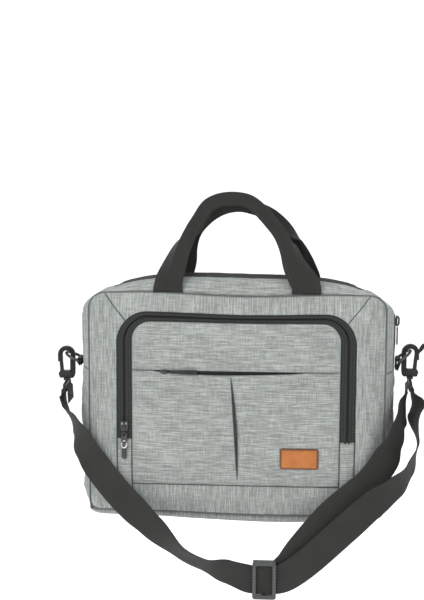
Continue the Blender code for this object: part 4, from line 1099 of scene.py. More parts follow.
# ------------------------------------------------------------------ pocket lining: shallow dish
DISH_X, DISH_TOP, DISH_R, DISH_FLOOR_Y = 0.1490, 0.2740, 0.0380, -0.0386
corner_x, corner_z = DISH_X - DISH_R, DISH_TOP - DISH_R
rim = np.array(join(
    line((-DISH_X, POCKET_SEAM), (-DISH_X, corner_z), 40),
    arc((-corner_x, corner_z), DISH_R, 180, 90, 14),
    line((-corner_x, DISH_TOP), (corner_x, DISH_TOP), 40),
    arc((corner_x, corner_z), DISH_R, 90, 0, 14),
    line((DISH_X, corner_z), (DISH_X, POCKET_SEAM), 40),
    line((DISH_X, POCKET_SEAM), (-DISH_X, POCKET_SEAM), 60)))
middle = np.array([0.0, 0.150])
rim_y = pocket_y(rim[:, 0], rim[:, 1]) + 0.0042
layers = []
for depth in (0.0, 0.25, 0.5, 0.75, 0.92, 1.0):
    ring = middle + (rim - middle) * (1 - 0.02 * smooth((depth - 0.75) / 0.25))
    layers.append(stack(ring[:, 0], rim_y * (1 - depth) + DISH_FLOOR_Y * depth, ring[:, 1]))
for scale in (0.95, 0.85, 0.7, 0.5, 0.3, 0.12, 0.01):
    x, z = (middle + (rim - middle) * scale).T
    layers.append(stack(x, DISH_FLOOR_Y - 0.0008 * fbm(x * 30, z * 30, 95), z))
lining_sheet("pocket_lining_dish", np.stack(layers, 1), FRONT, ("front_body_panel",))

# ------------------------------------------------------------------ leather label
lo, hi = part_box("leather_patch")
label_x, label_z = (lo.x + hi.x) / 2, (lo.z + hi.z) / 2
label_half_x, label_half_z = (hi.x - lo.x) / 2, (hi.z - lo.z) / 2


def quadratic(x, z):
    return np.stack([np.ones_like(x), x, z, x * x, x * z, z * z], -1)


# the stiff label bridges the puffs of the cloth: a gentle quadratic bed just outside it
x, z = np.meshgrid(np.linspace(-label_half_x, label_half_x, 15),
                   np.linspace(-label_half_z, label_half_z, 11))
x, z = x.ravel(), z.ravel()
y = front_y(label_x + x, label_z + z)
bed_terms = np.linalg.lstsq(quadratic(x, z), y, rcond=None)[0]
clearance = float(np.percentile(quadratic(x, z) @ bed_terms - y, 88)) + 0.00015


def label_bed(x, z):
    return quadratic(x - label_x, z - label_z) @ bed_terms - max(clearance, 0.0)


# edge section with a stitching channel: inset from the edge, height over the bed
LABEL_SECTION = ((0.0002, -0.0022), (0.0, 0.0004), (0.00015, 0.0011), (0.0005, 0.0015),
                 (0.0011, 0.00175), (0.0016, 0.0017), (0.0020, 0.00145), (0.0024, 0.00145),
                 (0.0028, 0.0017), (0.0036, 0.0018))
LABEL_RIM, LABEL_HEIGHT = LABEL_SECTION[-1]
layers = [(rounded_rect(label_half_x - inset, label_half_z - inset, 0.0032 - min(inset, 0.0028)),
           height, inset) for inset, height in LABEL_SECTION]
layers += [(rounded_rect((label_half_x - LABEL_RIM) * f, (label_half_z - LABEL_RIM) * f, 0.0005),
            LABEL_HEIGHT, LABEL_RIM + (1 - f) * label_half_z) for f in (0.8, 0.55, 0.3, 0.0)]
rings, edges = [], []
for ring, height, inset in layers:
    x, z = label_x + ring[:, 0], label_z + ring[:, 1]
    rings.append(stack(x, label_bed(x, z) - height - 0.00012 * fbm(x * 120, z * 120, 97), z))
    edges.append(np.full(len(ring), inset))
points = np.stack(rings, 1)
sheet("leather_label", points, points[..., ::2], LEATHER, FRONT, "tan_leather",
      ("leather_patch",), edge=np.stack(edges, 1))
ring = rounded_rect(label_half_x - 0.0022, label_half_z - 0.0022, 0.0012)
x, z = label_x + ring[:, 0], label_z + ring[:, 1]
stitches("leather_label_stitches", [(stack(x, label_bed(x, z) - 0.00160, z), FRONT)], TAN_THREAD,
         "bag", pitch=0.0027, length=0.0021, radius=0.00022, slot="tan_leather")

# ------------------------------------------------------------------ top gusset and main zip
CREST = 0.0245          # rise of the closed zip in the middle of the top


def gusset_out(y, top):
    """Bulge of a gusset, highest at its middle and zero at the seams."""
    return top * (1 - (abs(y) / HALF_DEPTH) ** 1.8)


def gusset_path(y):
    """Upper seam path at depth y, from the left side seam over the top to the right one.

    Columns: X, Z, outward normal X and Z, bulge.
    """
    radius = TOP_RADIUS + (BACK_RADIUS - TOP_RADIUS) * float(
        smooth((y + HALF_DEPTH) / (2 * HALF_DEPTH)))
    centre_z, leg = TOP_Z - radius, TOP_Z - TOP_RADIUS - SIDE_SEAM_Z
    left = [(-HALF_WIDTH, SIDE_SEAM_Z + f * (centre_z - SIDE_SEAM_Z), -1, 0, BULGE_SIDE)
            for f in spread(leg, 0.0028, high=False) / leg]
    on_corner, on_top = 22, 126
    for i in range(1, on_corner):
        turn = 90.0 * i / on_corner
        a = math.radians(180 - turn)
        bulge = (BULGE_SIDE + (0.0015 - BULGE_SIDE) * float(smooth(turn / 45.0))
                 + 0.0030 * float(smooth((turn - 55) / 35.0)))
        left.append((-HALF_WIDTH + radius + radius * math.cos(a), centre_z + radius * math.sin(a),
                     math.cos(a), math.sin(a), bulge))
    top = []
    for i in range(on_top + 1):
        x = (-HALF_WIDTH + radius) * (1 - 2 * i / on_top)
        rise = max(0.0, 1 - min(1.0, abs(x) / 0.158) ** 2) ** 0.7
        top.append((x, TOP_Z, 0, 1, 0.0045 + (CREST - 0.0045) * rise))
    left = np.array(left, float)
    return np.vstack([left, top, left[::-1] * [-1, 1, -1, 1, 1]])


def crest_line(y, rise):
    """Points and X-Z normals along the gusset at depth y."""
    x, z, normal_x, normal_z, bulge = gusset_path(y).T
    out = gusset_out(y, bulge) + rise
    return stack(x + normal_x * out, y, z + normal_z * out), stack(normal_x, normal_z)


RUN = arclen(gusset_path(0.0)[:, :2])[:, None]
FROM_ENDS = np.minimum(RUN, RUN[-1] - RUN)


def ridge(build, name, depths, drop, towards_y, replaces, **more):
    """Sheet round the upper seam path at the given depths, sunk by drop."""
    table = np.stack([gusset_path(float(y)) for y in depths], 1)
    x, z, normal_x, normal_z, bulge = np.moveaxis(table, -1, 0)
    out = gusset_out(depths, bulge) - drop
    build(name, stack(x + normal_x * out, depths, z + normal_z * out), stack(RUN, depths),
          towards=stack(normal_x, towards_y, normal_z), replaces=replaces, **more)


def leg_rise(from_ends):
    """The closed zip stands a little proud on the legs, where the slider parks."""
    return (0.0009 * smooth((from_ends - 0.016) / 0.020)
            * (1 - smooth((from_ends - 0.066) / 0.026)))


GUSSET_TREES = []       # settled front and rear gussets, for their stitches
TAPE_WIDTH = 0.0156
for sign, tag, seed in ((-1, "front", 109), (1, "rear", 108)):
    from_seam = spread(0.0385 - 0.0143, 0.0024)
    from_zip = from_seam[-1] - from_seam
    depths = sign * (0.0385 - from_seam)
    drop = np.maximum.reduce([
        seam_drop(from_seam, RUN, 0.0018, dip=0.0007, seed=101),
        seam_drop(from_zip, RUN, 0.0011, dip=0.0004, pucker=0.0003, seed=102),
        seam_drop(FROM_ENDS, depths, 0.0013, seed=103)])
    from_sides = np.minimum(from_seam, from_zip)
    drop = drop - 0.0009 * fbm(RUN * 17, depths * 22, seed, 3) * smooth(from_sides / 0.008)
    ridge(fabric, tag + "_top_gusset", depths, drop, sign * 0.6, (tag + "_zip_gusset",),
          material=FABRIC_TOP, edge=np.minimum(from_sides, FROM_ENDS), settle=SETTLE,
          trees=GUSSET_TREES)
    depths = sign * (TAPE_WIDTH * (1 - TAPE_ACROSS) + 0.00008 * TAPE_ACROSS)
    drop = (tape_drop(TAPE_ACROSS) * 0.9 + 0.00025 * fbm(RUN * 60, depths * 100, 107, 2) + 0.0004
            - leg_rise(FROM_ENDS) * smooth(TAPE_ACROSS / 0.5))
    # edge is the distance to the sewn border or the zip's middle; the tape material paints shade along
    # both
    edge = np.minimum(TAPE_ACROSS * TAPE_WIDTH + 0.0001, (1 - TAPE_ACROSS) * TAPE_WIDTH)
    ridge(zip_sheet, "main_zip_half_" + tag, depths, drop, sign * 0.2, ("main_zip_tape_" + tag,),
          edge=edge)
    path, _ = crest_line(sign * 0.0015, -0.0030 + leg_rise(FROM_ENDS[:, 0]))
    Solid().wire(path, 0.0010, sides=8).finish("main_coil_" + tag, "bag", [ZIP_COIL], "zip_coil",
                                               ("main_zip_coil_" + tag,))

# ------------------------------------------------------------------ side panels
# upright creases: depth, size, lowest and highest Z, lean
CREASES = ((-0.0285, 0.0022, 0.02, 0.185, 0.02), (-0.0170, 0.0026, 0.05, 0.196, -0.03),
           (0.008, 0.0020, 0.03, 0.17, 0.02), (0.026, 0.0022, 0.06, 0.19, 0.0))
for side, tag in SIDES:
    heights = 0.0128 + spread(SIDE_SEAM_Z - 0.0002 - 0.0128, 0.0030)
    y, z = np.meshgrid(-0.0385 + spread(0.0770, 0.0026), heights)
    from_side = np.minimum(y + 0.0385, 0.0385 - y)
    from_end = np.minimum(z - heights[0], heights[-1] - z)
    edge = np.minimum(from_side, from_end)
    drop = np.maximum(seam_drop(from_side, z, 0.0018, dip=0.0007, seed=111),
                      seam_drop(from_end, y, 0.0013, seed=112))
    crease = 0.0
    for depth, size, low, high, lean in CREASES:
        off = y - (depth + lean * (z - 0.11) + 0.002 * value_noise(z * 30, 3.3, 113))
        reach = smooth((z - low) / 0.03) * smooth((high - z) / 0.03)
        crease = crease + size * reach * (hump(off, 0, 0.0016) - 0.45 * hump(off, 0.004, 0.003))
    out = (gusset_out(y, BULGE_SIDE) * np.minimum(1.0, (z - 0.005) / 0.03) - drop
           - crease * smooth(edge / 0.006)
           + 0.0010 * fbm(y * 22, z * 14, 114 + side, 3) * smooth(edge / 0.01))
    # painted shade along the creases: where a crease is deep, edge drops to 1.5 mm so the cloth's seam
    # ramp darkens it
    fabric("side_panel_" + tag, stack(side * (HALF_WIDTH + out), y, z), stack(y, z),
           FABRIC_UPRIGHT, (side, 0, 0), ("side_gusset_" + tag,),
           edge=np.minimum(edge, np.where(crease > 0.0014, 0.0015, 0.0503)),
           settle=dict(shrink=-0.015, cap=0.0030))

# ------------------------------------------------------------------ base: shallow hanging dish
along = dense_ends(-1, [0, .0004, .001, .002, .0036, .006, .0095, .014, .02, .028, .038, .05],
                   np.linspace(-0.93, 0.93, 130))
across = dense_ends(-1, [0, .004, .010, .02, .036, .06, .095, .14, .2], np.linspace(-0.7, 0.7, 15))
across, along = np.meshgrid(across, along)
x = along * (HALF_WIDTH - 0.0006 + 0.0034 * (1 - abs(across) ** 1.8))
y = across * 0.0388
dish = (1 - abs(along) ** 26) ** 0.5 * (1 - abs(across) ** 5) ** 0.5
z = (0.0124 - 0.0122 * dish - 0.0028 * dish * (1 - across ** 2) ** 0.5 * hump(x, 0.04, 0.13)
     - 0.0010 * dish * hump(x, 0.07, 0.09) + 0.0006 * fbm(x * 18, y * 30, 121, 3) * dish)
fabric("base_shell", stack(x, y, z), stack(x, y), FABRIC_UPRIGHT, (0, 0, -1), ("base_panel",),
       thickness=0.0012,
       edge=np.minimum((1 - abs(along)) * HALF_WIDTH, (1 - abs(across)) * 0.0388))

# ------------------------------------------------------------------ rear panel, gently padded
top_x, top_z = EDGE_X - EDGE_BACK_R, EDGE_TOP - EDGE_BACK_R
low_x, low_z = EDGE_X - EDGE_LOW_R, EDGE_LOW + EDGE_LOW_R
columns = rounded_columns(top_x, EDGE_BACK_R, 22, 42)
reach = abs(columns)
top = np.where(reach > top_x, top_z + arc_height(reach - top_x, EDGE_BACK_R), EDGE_TOP)
low = np.where(reach > low_x, low_z - arc_height(reach - low_x, EDGE_LOW_R), EDGE_LOW)
rise = dense_ends(0, EDGE_STEPS / 0.27, np.linspace(0.055, 0.945, 74))
x = np.tile(columns, (len(rise), 1))
z = low[None, :] + (top - low)[None, :] * rise[:, None]
from_straight = np.minimum(np.minimum(EDGE_TOP - z, z - EDGE_LOW), EDGE_X - abs(x))
from_edge = np.where(
    (abs(x) > top_x) & (z > top_z), EDGE_BACK_R - np.hypot(abs(x) - top_x, z - top_z),
    np.where((abs(x) > low_x) & (z < low_z),
             EDGE_LOW_R - np.hypot(abs(x) - low_x, z - low_z), from_straight))
from_edge = np.maximum(from_edge, 0)
around = np.arctan2(z - 0.157, x) * 0.2
bulge = (0.0036 * (1 - np.exp(-from_edge / 0.012)) - roll(from_edge, 0.0018)
         - 0.0009 * np.exp(-from_edge / 0.009))
uneven = (0.0009 * fbm(x * 15, z * 15, 131, 3) * smooth(from_edge / 0.012)
          + 0.0005 * np.exp(-from_edge / 0.0055) * fbm(around * 95, from_edge * 40, 132, 2))
fabric("rear_panel_cover", stack(x, HALF_DEPTH - 0.0002 + bulge + uneven, z), stack(x, z),
       FABRIC_ACROSS, (0, 1, 0), ("rear_body_panel",), edge=from_edge,
       settle=dict(pressure=0.6, shrink=-0.008, cap=0.0022))


# ------------------------------------------------------------------ dark seam piping, partly painted seam shade, and rear pad
def body_outline(offset, top_radius):
    """Body outline grown by an offset, as an X-Z path open at its doubled point."""
    x, low, top = HALF_WIDTH + offset, BOTTOM_Z - offset, TOP_Z + offset
    low_r, top_r = LOW_RADIUS + offset, top_radius + offset
    low_x, top_x, low_z, top_z = x - low_r, x - top_r, low + low_r, top - top_r
    parts = (arc((-low_x, low_z), low_r, 270, 180, 12), line((-x, low_z), (-x, top_z), 60),
             arc((-top_x, top_z), top_r, 180, 90, 16), line((-top_x, top), (top_x, top), 90),
             arc((top_x, top_z), top_r, 90, 0, 16), line((x, top_z), (x, low_z), 60),
             arc((low_x, low_z), low_r, 0, -90, 12), line((low_x, low), (-low_x, low), 90))
    return [p for part in parts for p in part[:-1]]


# a thin dark tube along each outline seam: a slim seam ridge whose dark colour is painted shade of the
# seam line
for sign, tag, radius in ((-1, "front", TOP_RADIUS), (1, "rear", BACK_RADIUS)):
    path = [(x, sign * 0.0389, z) for x, z in body_outline(-0.0008, radius)]
    Solid().wire(path, 0.0009, sides=8, closed=True).finish(
        "seam_shadow_piping_" + tag, "bag", [SEAM_SHADE_CLOTH], "zip_tape", ("edge_binding_" + tag,))

outline = np.array(body_outline(-0.0085, BACK_RADIUS))
outline = np.vstack([outline, outline[:1]])
outline[:, 1] = 0.0195 + (outline[:, 1] - 0.0195) * 0.2685 / 0.2750
x, z = outline.T
# closed section of the pad: depth, scale of the outline
PAD_SECTION = ((0.0330, 0.0), (0.0330, 0.5), (0.0330, 0.985), (0.0334, 0.997), (0.0340, 1.0),
               (0.0364, 1.0), (0.0370, 0.997), (0.0374, 0.985), (0.0374, 0.5), (0.0374, 0.0))
points = np.stack([stack(x * f, y, 0.150 + (z - 0.150) * f) for y, f in PAD_SECTION], 1)
sheet("rear_pad", points, points[..., ::2], FOAM, points - np.array([0.0, 0.0352, 0.150]),
      "foam", ("rear_foam_pad",))

# ------------------------------------------------------------------ lining bag: a soft sleeve
LINING_FLOOR = 0.0048
# height, inward shift of the wall
LINING_RINGS = ((0.2860, 0.0), (0.2852, 0.0006), (0.27, 0.0), (0.24, 0.0), (0.19, 0.0),
                (0.13, 0.0), (0.07, 0.0), (0.03, 0.0), (0.014, 0.001), (0.008, 0.0035),
                (0.0055, 0.008), (LINING_FLOOR, 0.016))
rings = []
for z, shift in LINING_RINGS:
    rise = (z - LINING_FLOOR) / 0.2812
    half_x = 0.1720 + 0.0125 * rise - 0.0230 * float(smooth((z - 0.245) / 0.045)) - shift
    half_y = 0.0258 + 0.0055 * rise - 0.0030 * float(smooth((z - 0.255) / 0.035)) - shift * 0.6
    x, y = rounded_rect(half_x, half_y, 0.008, 8, 30).T
    rings.append(stack(x, y + 0.0006 * fbm(x * 20, z * 20, 151), z))
x, y, _ = rings[-1].T
rings += [stack(x * f, y * f, LINING_FLOOR) for f in (0.6, 0.2, 0.0)]
points = np.stack(rings, 1)
lining_sheet("lining_bag", points, stack(-points[..., 0], -points[..., 1] * 6, 0.01),
             ("main_lining",))


# ------------------------------------------------------------------ shoulder strap
def smooth_path(stations, step):
    """Catmull-Rom curve through stations of X, Y, Z and a width direction."""
    places = [Vector(s[:3]) for s in stations]
    widths = [Vector(s[3:]).normalized() for s in stations]
    points, dirs = [], []
    for i in range(len(places) - 1):
        before, start = places[max(i - 1, 0)], places[i]
        end, after = places[i + 1], places[min(i + 2, len(places) - 1)]
        n = max(1, int(round((end - start).length / step)))
        for k in range(n):
            t = k / n
            points.append(0.5 * ((2 * start) + (end - before) * t
                                 + (2 * before - 5 * start + 4 * end - after) * t * t
                                 + (3 * start - before - 3 * end + after) * t ** 3))
            dirs.append(widths[i].lerp(widths[i + 1], t * t * (3 - 2 * t)).normalized())
    points.append(places[-1])
    dirs.append(widths[-1])
    return np.array([tuple(p) for p in points]), np.array([tuple(d) for d in dirs])


def bar_turn(tag):
    """Half turn of the strap over a hook's bar, from its -X side to its +X side."""
    x, z = HOOKS[tag]
    angles = [math.pi * i / 14 for i in range(15)]
    return [(x - STRAP_TURN * math.cos(a), 0.0, z + BAR_Z + STRAP_TURN * math.sin(a), 0, -1, 0)
            for a in angles]


left_x, left_z = HOOKS["left"]
right_x, right_z = HOOKS["right"]
# from behind the adjuster up to the right hook, back through the adjuster, then to the left hook;
# columns: centre X, Y, Z, width direction X, Y, Z
STRAP = [
    (0.0500, -0.0768, -0.0655, -0.02, 0, 1.0), (0.0575, -0.0770, -0.0622, -0.16, 0, 0.985),
    (0.0660, -0.0776, -0.0535, -0.40, 0, 0.92), (0.0740, -0.0782, -0.0440, -0.60, 0, 0.80),
    (0.0880, -0.0775, -0.0230, -0.80, 0, 0.60), (0.1230, -0.0740, 0.0190, -0.72, 0, 0.70),
    (0.1540, -0.0690, 0.0460, -0.66, 0, 0.75), (0.1760, -0.0650, 0.0650, -0.72, 0, 0.70),
    (0.1930, -0.0600, 0.0890, -0.86, -0.15, 0.50), (0.2070, -0.0500, 0.1150, -0.62, -0.75, 0.20),
    (0.2155, -0.0330, 0.1390, -0.36, -0.92, 0.05),
    (right_x - STRAP_TURN - 0.0025, -0.0110, 0.1530, -0.22, -0.97, 0.0),
    (right_x - STRAP_TURN, -0.0006, right_z + BAR_Z - 0.010, 0, -1, 0),
    *bar_turn("right"),
    (right_x + STRAP_TURN, 0.0, right_z + BAR_Z - 0.002, 0, -1, 0),
    (right_x + STRAP_TURN + 0.0015, -0.0006, right_z + BAR_Z - 0.011, 0.16, -0.98, 0),
    (right_x + STRAP_TURN + 0.0052, -0.0080, 0.1510, 0.40, -0.91, 0),
    (0.2345, -0.0260, 0.1340, 0.16, -0.98, 0.05), (0.2368, -0.0430, 0.1080, -0.04, -0.99, 0.1),
    (0.2260, -0.0610, 0.0790, -0.40, -0.88, 0.25), (0.2060, -0.0720, 0.0570, -0.62, -0.55, 0.55),
    (0.1780, -0.0800, 0.0370, -0.62, -0.15, 0.77), (0.1450, -0.0850, 0.0070, -0.70, 0, 0.71),
    (0.1020, -0.0860, -0.0340, -0.66, 0, 0.75), (0.0760, -0.0838, -0.0560, -0.40, 0, 0.91),
    (0.0600, -0.0814, -0.0652, -0.10, 0, 0.99), (0.0480, -0.0812, -0.0665, 0, 0, 1),
    (0.0320, -0.0812, -0.0665, 0, 0, 1), (0.0200, -0.0812, -0.0655, 0.04, 0, 1),
    (-0.0080, -0.0800, -0.0570, 0.14, -0.30, 0.94), (-0.0400, -0.0800, -0.0480, 0.22, -0.76, 0.62),
    (-0.0700, -0.0790, -0.0330, 0.40, -0.76, 0.52), (-0.1080, -0.0760, 0.0010, 0.64, -0.30, 0.70),
    (-0.1330, -0.0730, 0.0240, 0.72, 0, 0.70), (-0.1550, -0.0690, 0.0460, 0.76, 0, 0.65),
    (-0.1790, -0.0630, 0.0740, 0.80, -0.05, 0.60), (-0.1980, -0.0520, 0.0990, 0.74, -0.40, 0.54),
    (-0.2130, -0.0340, 0.1220, 0.42, -0.86, 0.30), (-0.2270, -0.0160, 0.1380, 0.10, -0.99, 0.1),
    (-0.2330, -0.0040, 0.1500, 0, -1, 0),
    (left_x - STRAP_TURN, -0.0005, left_z + BAR_Z - 0.003, 0, -1, 0),
    *bar_turn("left"),
    (left_x + STRAP_TURN, 0.0, left_z + BAR_Z - 0.004, 0, -1, 0),
    (left_x + STRAP_TURN + 0.0008, 0.0, left_z + BAR_Z - 0.016, 0, -1, 0),
]
points, dirs = smooth_path(STRAP, step=0.0035)
ribbon("shoulder_strap", points, dirs, WEB, "strap", ("strap_webbing",), camber=0.0003,
       wobble=0.00025)

# ------------------------------------------------------------------ side loops and D-rings
RING_HALF, BOW_REACH = 0.0150, 0.0125
# D shape as (Y, reach outwards): straight bar, then one flank, the bow and the other flank
flank = [(RING_HALF - 0.0018 * (1 - math.sin(a)), 0.0020 * (1 - math.cos(a)))
         for a in np.radians((0, 30, 60))]
flank += [(RING_HALF, 0.0020 + (RING_DEPTH - BOW_REACH - 0.0020) * t) for t in (0.0, 0.5)]
bow = [(RING_HALF * math.sin(a), RING_DEPTH - BOW_REACH + BOW_REACH * math.cos(a))
       for a in np.radians(np.linspace(90, -90, 29))]
bar = [(y, 0.0) for y in np.linspace(-RING_HALF + 0.0030, RING_HALF - 0.0030, 8)]
D_SHAPE = bar + flank + bow + [(-y, reach) for y, reach in reversed(flank)]

# side, tag, centre of the ring's bar, degrees the bow points up
for side, tag, centre, elevation in ((-1, "left", Vector((-0.2110, 0, 0.2060)), 25.0),
                                     (1, "right", Vector((0.2115, 0, 0.2120)), 38.0)):
    root = Vector((side * 0.2096, 0, SIDE_SEAM_Z + 0.0014))
    up = (centre - root).normalized()
    across = Vector((up.z, 0, -up.x)) * side
    radius = RING_WIRE + 0.0004 + 0.0007
    path = [root - across * 0.0012 - up * 0.0018, root - across * 0.0012]
    for i in range(17):
        a = math.radians(180 - 180 * i / 16)
        path.append(centre + (across * math.cos(a) + up * math.sin(a)) * radius)
    path += [root + across * 0.0012, root + across * 0.0012 - up * 0.0018]
    points = resample([tuple(p) for p in path], 46)
    ribbon("side_loop_" + tag, points, np.tile([0.0, 1.0, 0.0], (len(points), 1)), 0.025, "bag",
           ("side_tab_" + tag,), across=7)
    tilt = math.radians(elevation)
    out = Vector((side * math.cos(tilt), 0, math.sin(tilt)))
    path = [tuple(centre + Vector((0, y, 0)) + out * reach) for y, reach in D_SHAPE]
    Solid().wire(path, RING_WIRE, sides=16, closed=True).finish(
        "d_ring_wire_" + tag, "ring_" + tag, [BLACK_METAL], "black_metal", ("d_ring_" + tag,))


# ------------------------------------------------------------------ grab handles
def unit(vectors):
    return vectors / np.linalg.norm(vectors, axis=1, keepdims=True)


def handle(tag, side, stations):
    """Webbing sewn flat into the top seam, folded in half over the grip; side is -1 in front."""
    name, body = tag + "_grab_handle", tag + "_grip"
    path, _ = smooth_path([(*s, 1, 0, 0) for s in stations], step=0.0036)
    # the sewn ends run a little way down into the seam
    first, last = [[(x, y - side * 0.0006, z - 0.0026), (x, y - side * 0.0002, z - 0.0012)]
                   for x, y, z in (stations[0], stations[-1])]
    path = np.vstack([first, path, last[::-1]])
    run = arclen(path)
    from_end = np.minimum(run, run[-1] - run)
    tangents = unit(np.gradient(path, axis=0))
    widths = unit(np.cross(tangents, [0.0, 1.0, 0.0]))
    normals = np.cross(tangents, widths)
    folded = smooth((from_end - 0.014) / 0.080)
    taper = np.clip((from_end - 0.005) / 0.070, 0, 1) ** 1.25
    turn = (np.arccos(1 - taper)
            + (math.pi * 0.988 - math.pi / 2) * smooth((from_end - 0.066) / 0.032))
    half = WEB / 2
    across = np.concatenate([np.linspace(-1, -0.12, 12), np.linspace(-0.10, 0.10, 13),
                             np.linspace(0.12, 1, 12)]) * half
    middle = len(across) // 2
    sideways, inwards = np.zeros((2, len(path), len(across)))
    for i in range(len(path)):
        theta = turn[i] * smooth((across + 0.0016) / 0.0032)
        for target, slope in ((sideways, np.cos(theta)), (inwards, np.sin(theta))):
            mean = (slope[1:] + slope[:-1]) / 2
            place = np.concatenate([[0], np.cumsum(mean * np.diff(across))])
            target[i] = place - place[middle]
        sideways[i] += half / 2 * folded[i]
    inwards = inwards - 0.0009 * folded[:, None]
    squeeze = 1 - 0.06 * folded[:, None]
    bend = 0.0010 * fbm(run[:, None] * 16, across[None, :] * 60, 141, 2)
    points = (path[:, None] + widths[:, None] * (sideways * squeeze)[..., None]
              + normals[:, None] * (side * (inwards + bend))[..., None])
    outward = normals * -side
    ob = sheet(name, points, stack(run[:, None], across), HANDLE_WEBBING, outward[:, None],
               "black_webbing", (tag + "_handle",), body=body)
    solidify = ob.modifiers.new("thickness", "SOLIDIFY")
    solidify.thickness, solidify.offset = 0.0014, 0.0
    bevel = ob.modifiers.new("selvedge", "BEVEL")
    bevel.width, bevel.segments = 0.0004, 2
    bevel.limit_method, bevel.angle_limit = "ANGLE", math.radians(60)
    rows = []
    for column in (3, len(across) - 4):
        face = unit(np.cross(np.gradient(points[:, column], axis=0),
                             points[:, column + 1] - points[:, column - 1]))
        face = face * np.sign((face[0] * outward[0]).sum())
        rows.append((points[:, column] + face * 0.00078, face))
    stitches(name + "_stitches", rows, BLACK_THREAD, body, slot="black_webbing")


# stations along the webbing, left end to right end
SEWN_FRONT, SEWN_REAR = -0.0404, 0.0406
handle("front", -1, [
    (-0.0895, SEWN_FRONT, 0.3062), (-0.0895, SEWN_FRONT + 0.0008, 0.3130),
    (-0.0885, -0.0385, 0.3220), (-0.0845, -0.0350, 0.3340), (-0.0760, -0.0290, 0.3540),
    (-0.0640, -0.0225, 0.3750), (-0.0510, -0.0160, 0.3960), (-0.0410, -0.0090, 0.4115),
    (-0.0300, -0.0062, 0.4185), (-0.0160, -0.0062, 0.4220), (0.0, -0.0062, 0.4220),
    (0.0140, -0.0062, 0.4185), (0.0260, -0.0090, 0.4100), (0.0380, -0.0150, 0.3980),
    (0.0540, -0.0210, 0.3790), (0.0660, -0.0270, 0.3590), (0.0750, -0.0330, 0.3390),
    (0.0862, -0.0375, 0.3210), (0.0895, SEWN_FRONT + 0.0008, 0.3125),
    (0.0895, SEWN_FRONT, 0.3062)])
handle("rear", 1, [
    (-0.0830, SEWN_REAR, 0.3062), (-0.0830, SEWN_REAR - 0.0008, 0.3130),
    (-0.0795, 0.0385, 0.3230), (-0.0740, 0.0340, 0.3380), (-0.0690, 0.0270, 0.3560),
    (-0.0600, 0.0200, 0.3750), (-0.0460, 0.0140, 0.3920), (-0.0310, 0.0095, 0.4040),
    (-0.0150, 0.0068, 0.4110), (0.0020, 0.0060, 0.4130), (0.0170, 0.0080, 0.4100),
    (0.0320, 0.0115, 0.4045), (0.0460, 0.0160, 0.3960), (0.0620, 0.0215, 0.3800),
    (0.0740, 0.0280, 0.3620), (0.0830, 0.0345, 0.3420), (0.0885, 0.0385, 0.3230),
    (0.0900, SEWN_REAR - 0.0008, 0.3130), (0.0900, SEWN_REAR, 0.3062)])


# ------------------------------------------------------------------ strap adjuster
def cad_box(node):
    lo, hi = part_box(node)
    return lo, hi, (lo + hi) / 2


centre = cad_box("strap_adjuster")[2]
mid_x, mid_z = centre.x, centre.z

# sewn end of the strap, turned round the adjuster's middle bar
path = [(mid_x + 0.0100, -0.0786, mid_z)]
for i in range(15):
    a = math.radians(90 + 180 * i / 14)
    path.append((mid_x - 0.0022 + 0.0023 * math.cos(a), -0.0764 - 0.0022 * math.sin(a), mid_z))
path.append((mid_x + 0.0100, -0.0742, mid_z))
points = resample(path, 40)
ribbon("strap_sewn_end", points, np.tile([0.0, 0.0, 1.0], (len(points), 1)), WEB, "adjuster",
       ("strap_end_loop",))

# moulded frame: closed section as share of the way to the inner edge, and Y
FRAME_SECTION = ((0.0, -0.0850), (0.05, -0.0855), (0.16, -0.0858), (0.5, -0.0860),
                 (0.84, -0.0858), (0.95, -0.0855), (1.0, -0.0850), (1.0, -0.0830),
                 (0.95, -0.0828), (0.5, -0.0828), (0.05, -0.0828), (0.0, -0.0832))
outer = rounded_rect(0.0155, 0.0255, 0.0042, 8, 6)[:-1] + [mid_x, mid_z]
inner = rounded_rect(0.0105, 0.0198, 0.0020, 8, 6)[:-1] + [mid_x, mid_z]
rings = []
for share, y in FRAME_SECTION:
    plan = outer * (1 - share) + inner * share
    rings.append(stack(plan[:, 0], y, plan[:, 1]))
solid = Solid().add(np.concatenate(rings), tube_faces(len(rings), len(outer), closed=True))
for sign in (-1, 1):        # end cheeks
    low, high = sorted((mid_z + sign * 0.0206, mid_z + sign * 0.0253))
    solid.box((mid_x - 0.0150, -0.0848, low), (mid_x + 0.0150, -0.0753, high), 0.0012, 4)
# middle bar behind the frame
solid.box((mid_x - 0.0025, -0.0775, mid_z - 0.0225), (mid_x + 0.0025, -0.0753, mid_z + 0.0225),
          0.0009, 4)
for x in (-0.0130, 0.0130):     # small ribs on the front
    for z in np.arange(-0.016, 0.0161, 0.004):
        solid.box((mid_x + x - 0.0013, -0.0863, mid_z + z - 0.0007),
                  (mid_x + x + 0.0013, -0.0856, mid_z + z + 0.0007), 0.0003, 2)
solid.finish("adjuster_frame", "adjuster", [GREY_PLASTIC], "black_plastic", ("strap_adjuster",))

# ------------------------------------------------------------------ swivel snap hooks
# outlines are X outwards and Z, about the centre of the hook's bend
HOOK_HALF = 0.0030      # half thickness
BEND_Z = -0.0085
HOOK_OUTLINE = [
    (0.0115, -0.0180), *arc((0, BEND_Z), 0.0115, 0, 180, 30),
    (-0.0115, -0.0330), (-0.0107, -0.0375), *arc((-0.0078, -0.0382), 0.0020, 200, 270, 5),
    *arc((0.0078, -0.0382), 0.0020, -90, -20, 5), (0.0110, -0.0340), (0.0085, -0.0300),
    (-0.0028, -0.0300), *arc((-0.0028, -0.0280), 0.0020, 270, 180, 6), (-0.0048, -0.0150),
    *arc((0, BEND_Z), 0.0055, 180, 0, 24), (0.0052, -0.0160), (0.0057, -0.0178)]
SPINE_RIB = [(-0.0098, -0.0060), (-0.0090, -0.0090), (-0.0090, -0.0300), (-0.0080, -0.0340),
             (-0.0098, -0.0340), (-0.0104, -0.0300), (-0.0104, -0.0090)]
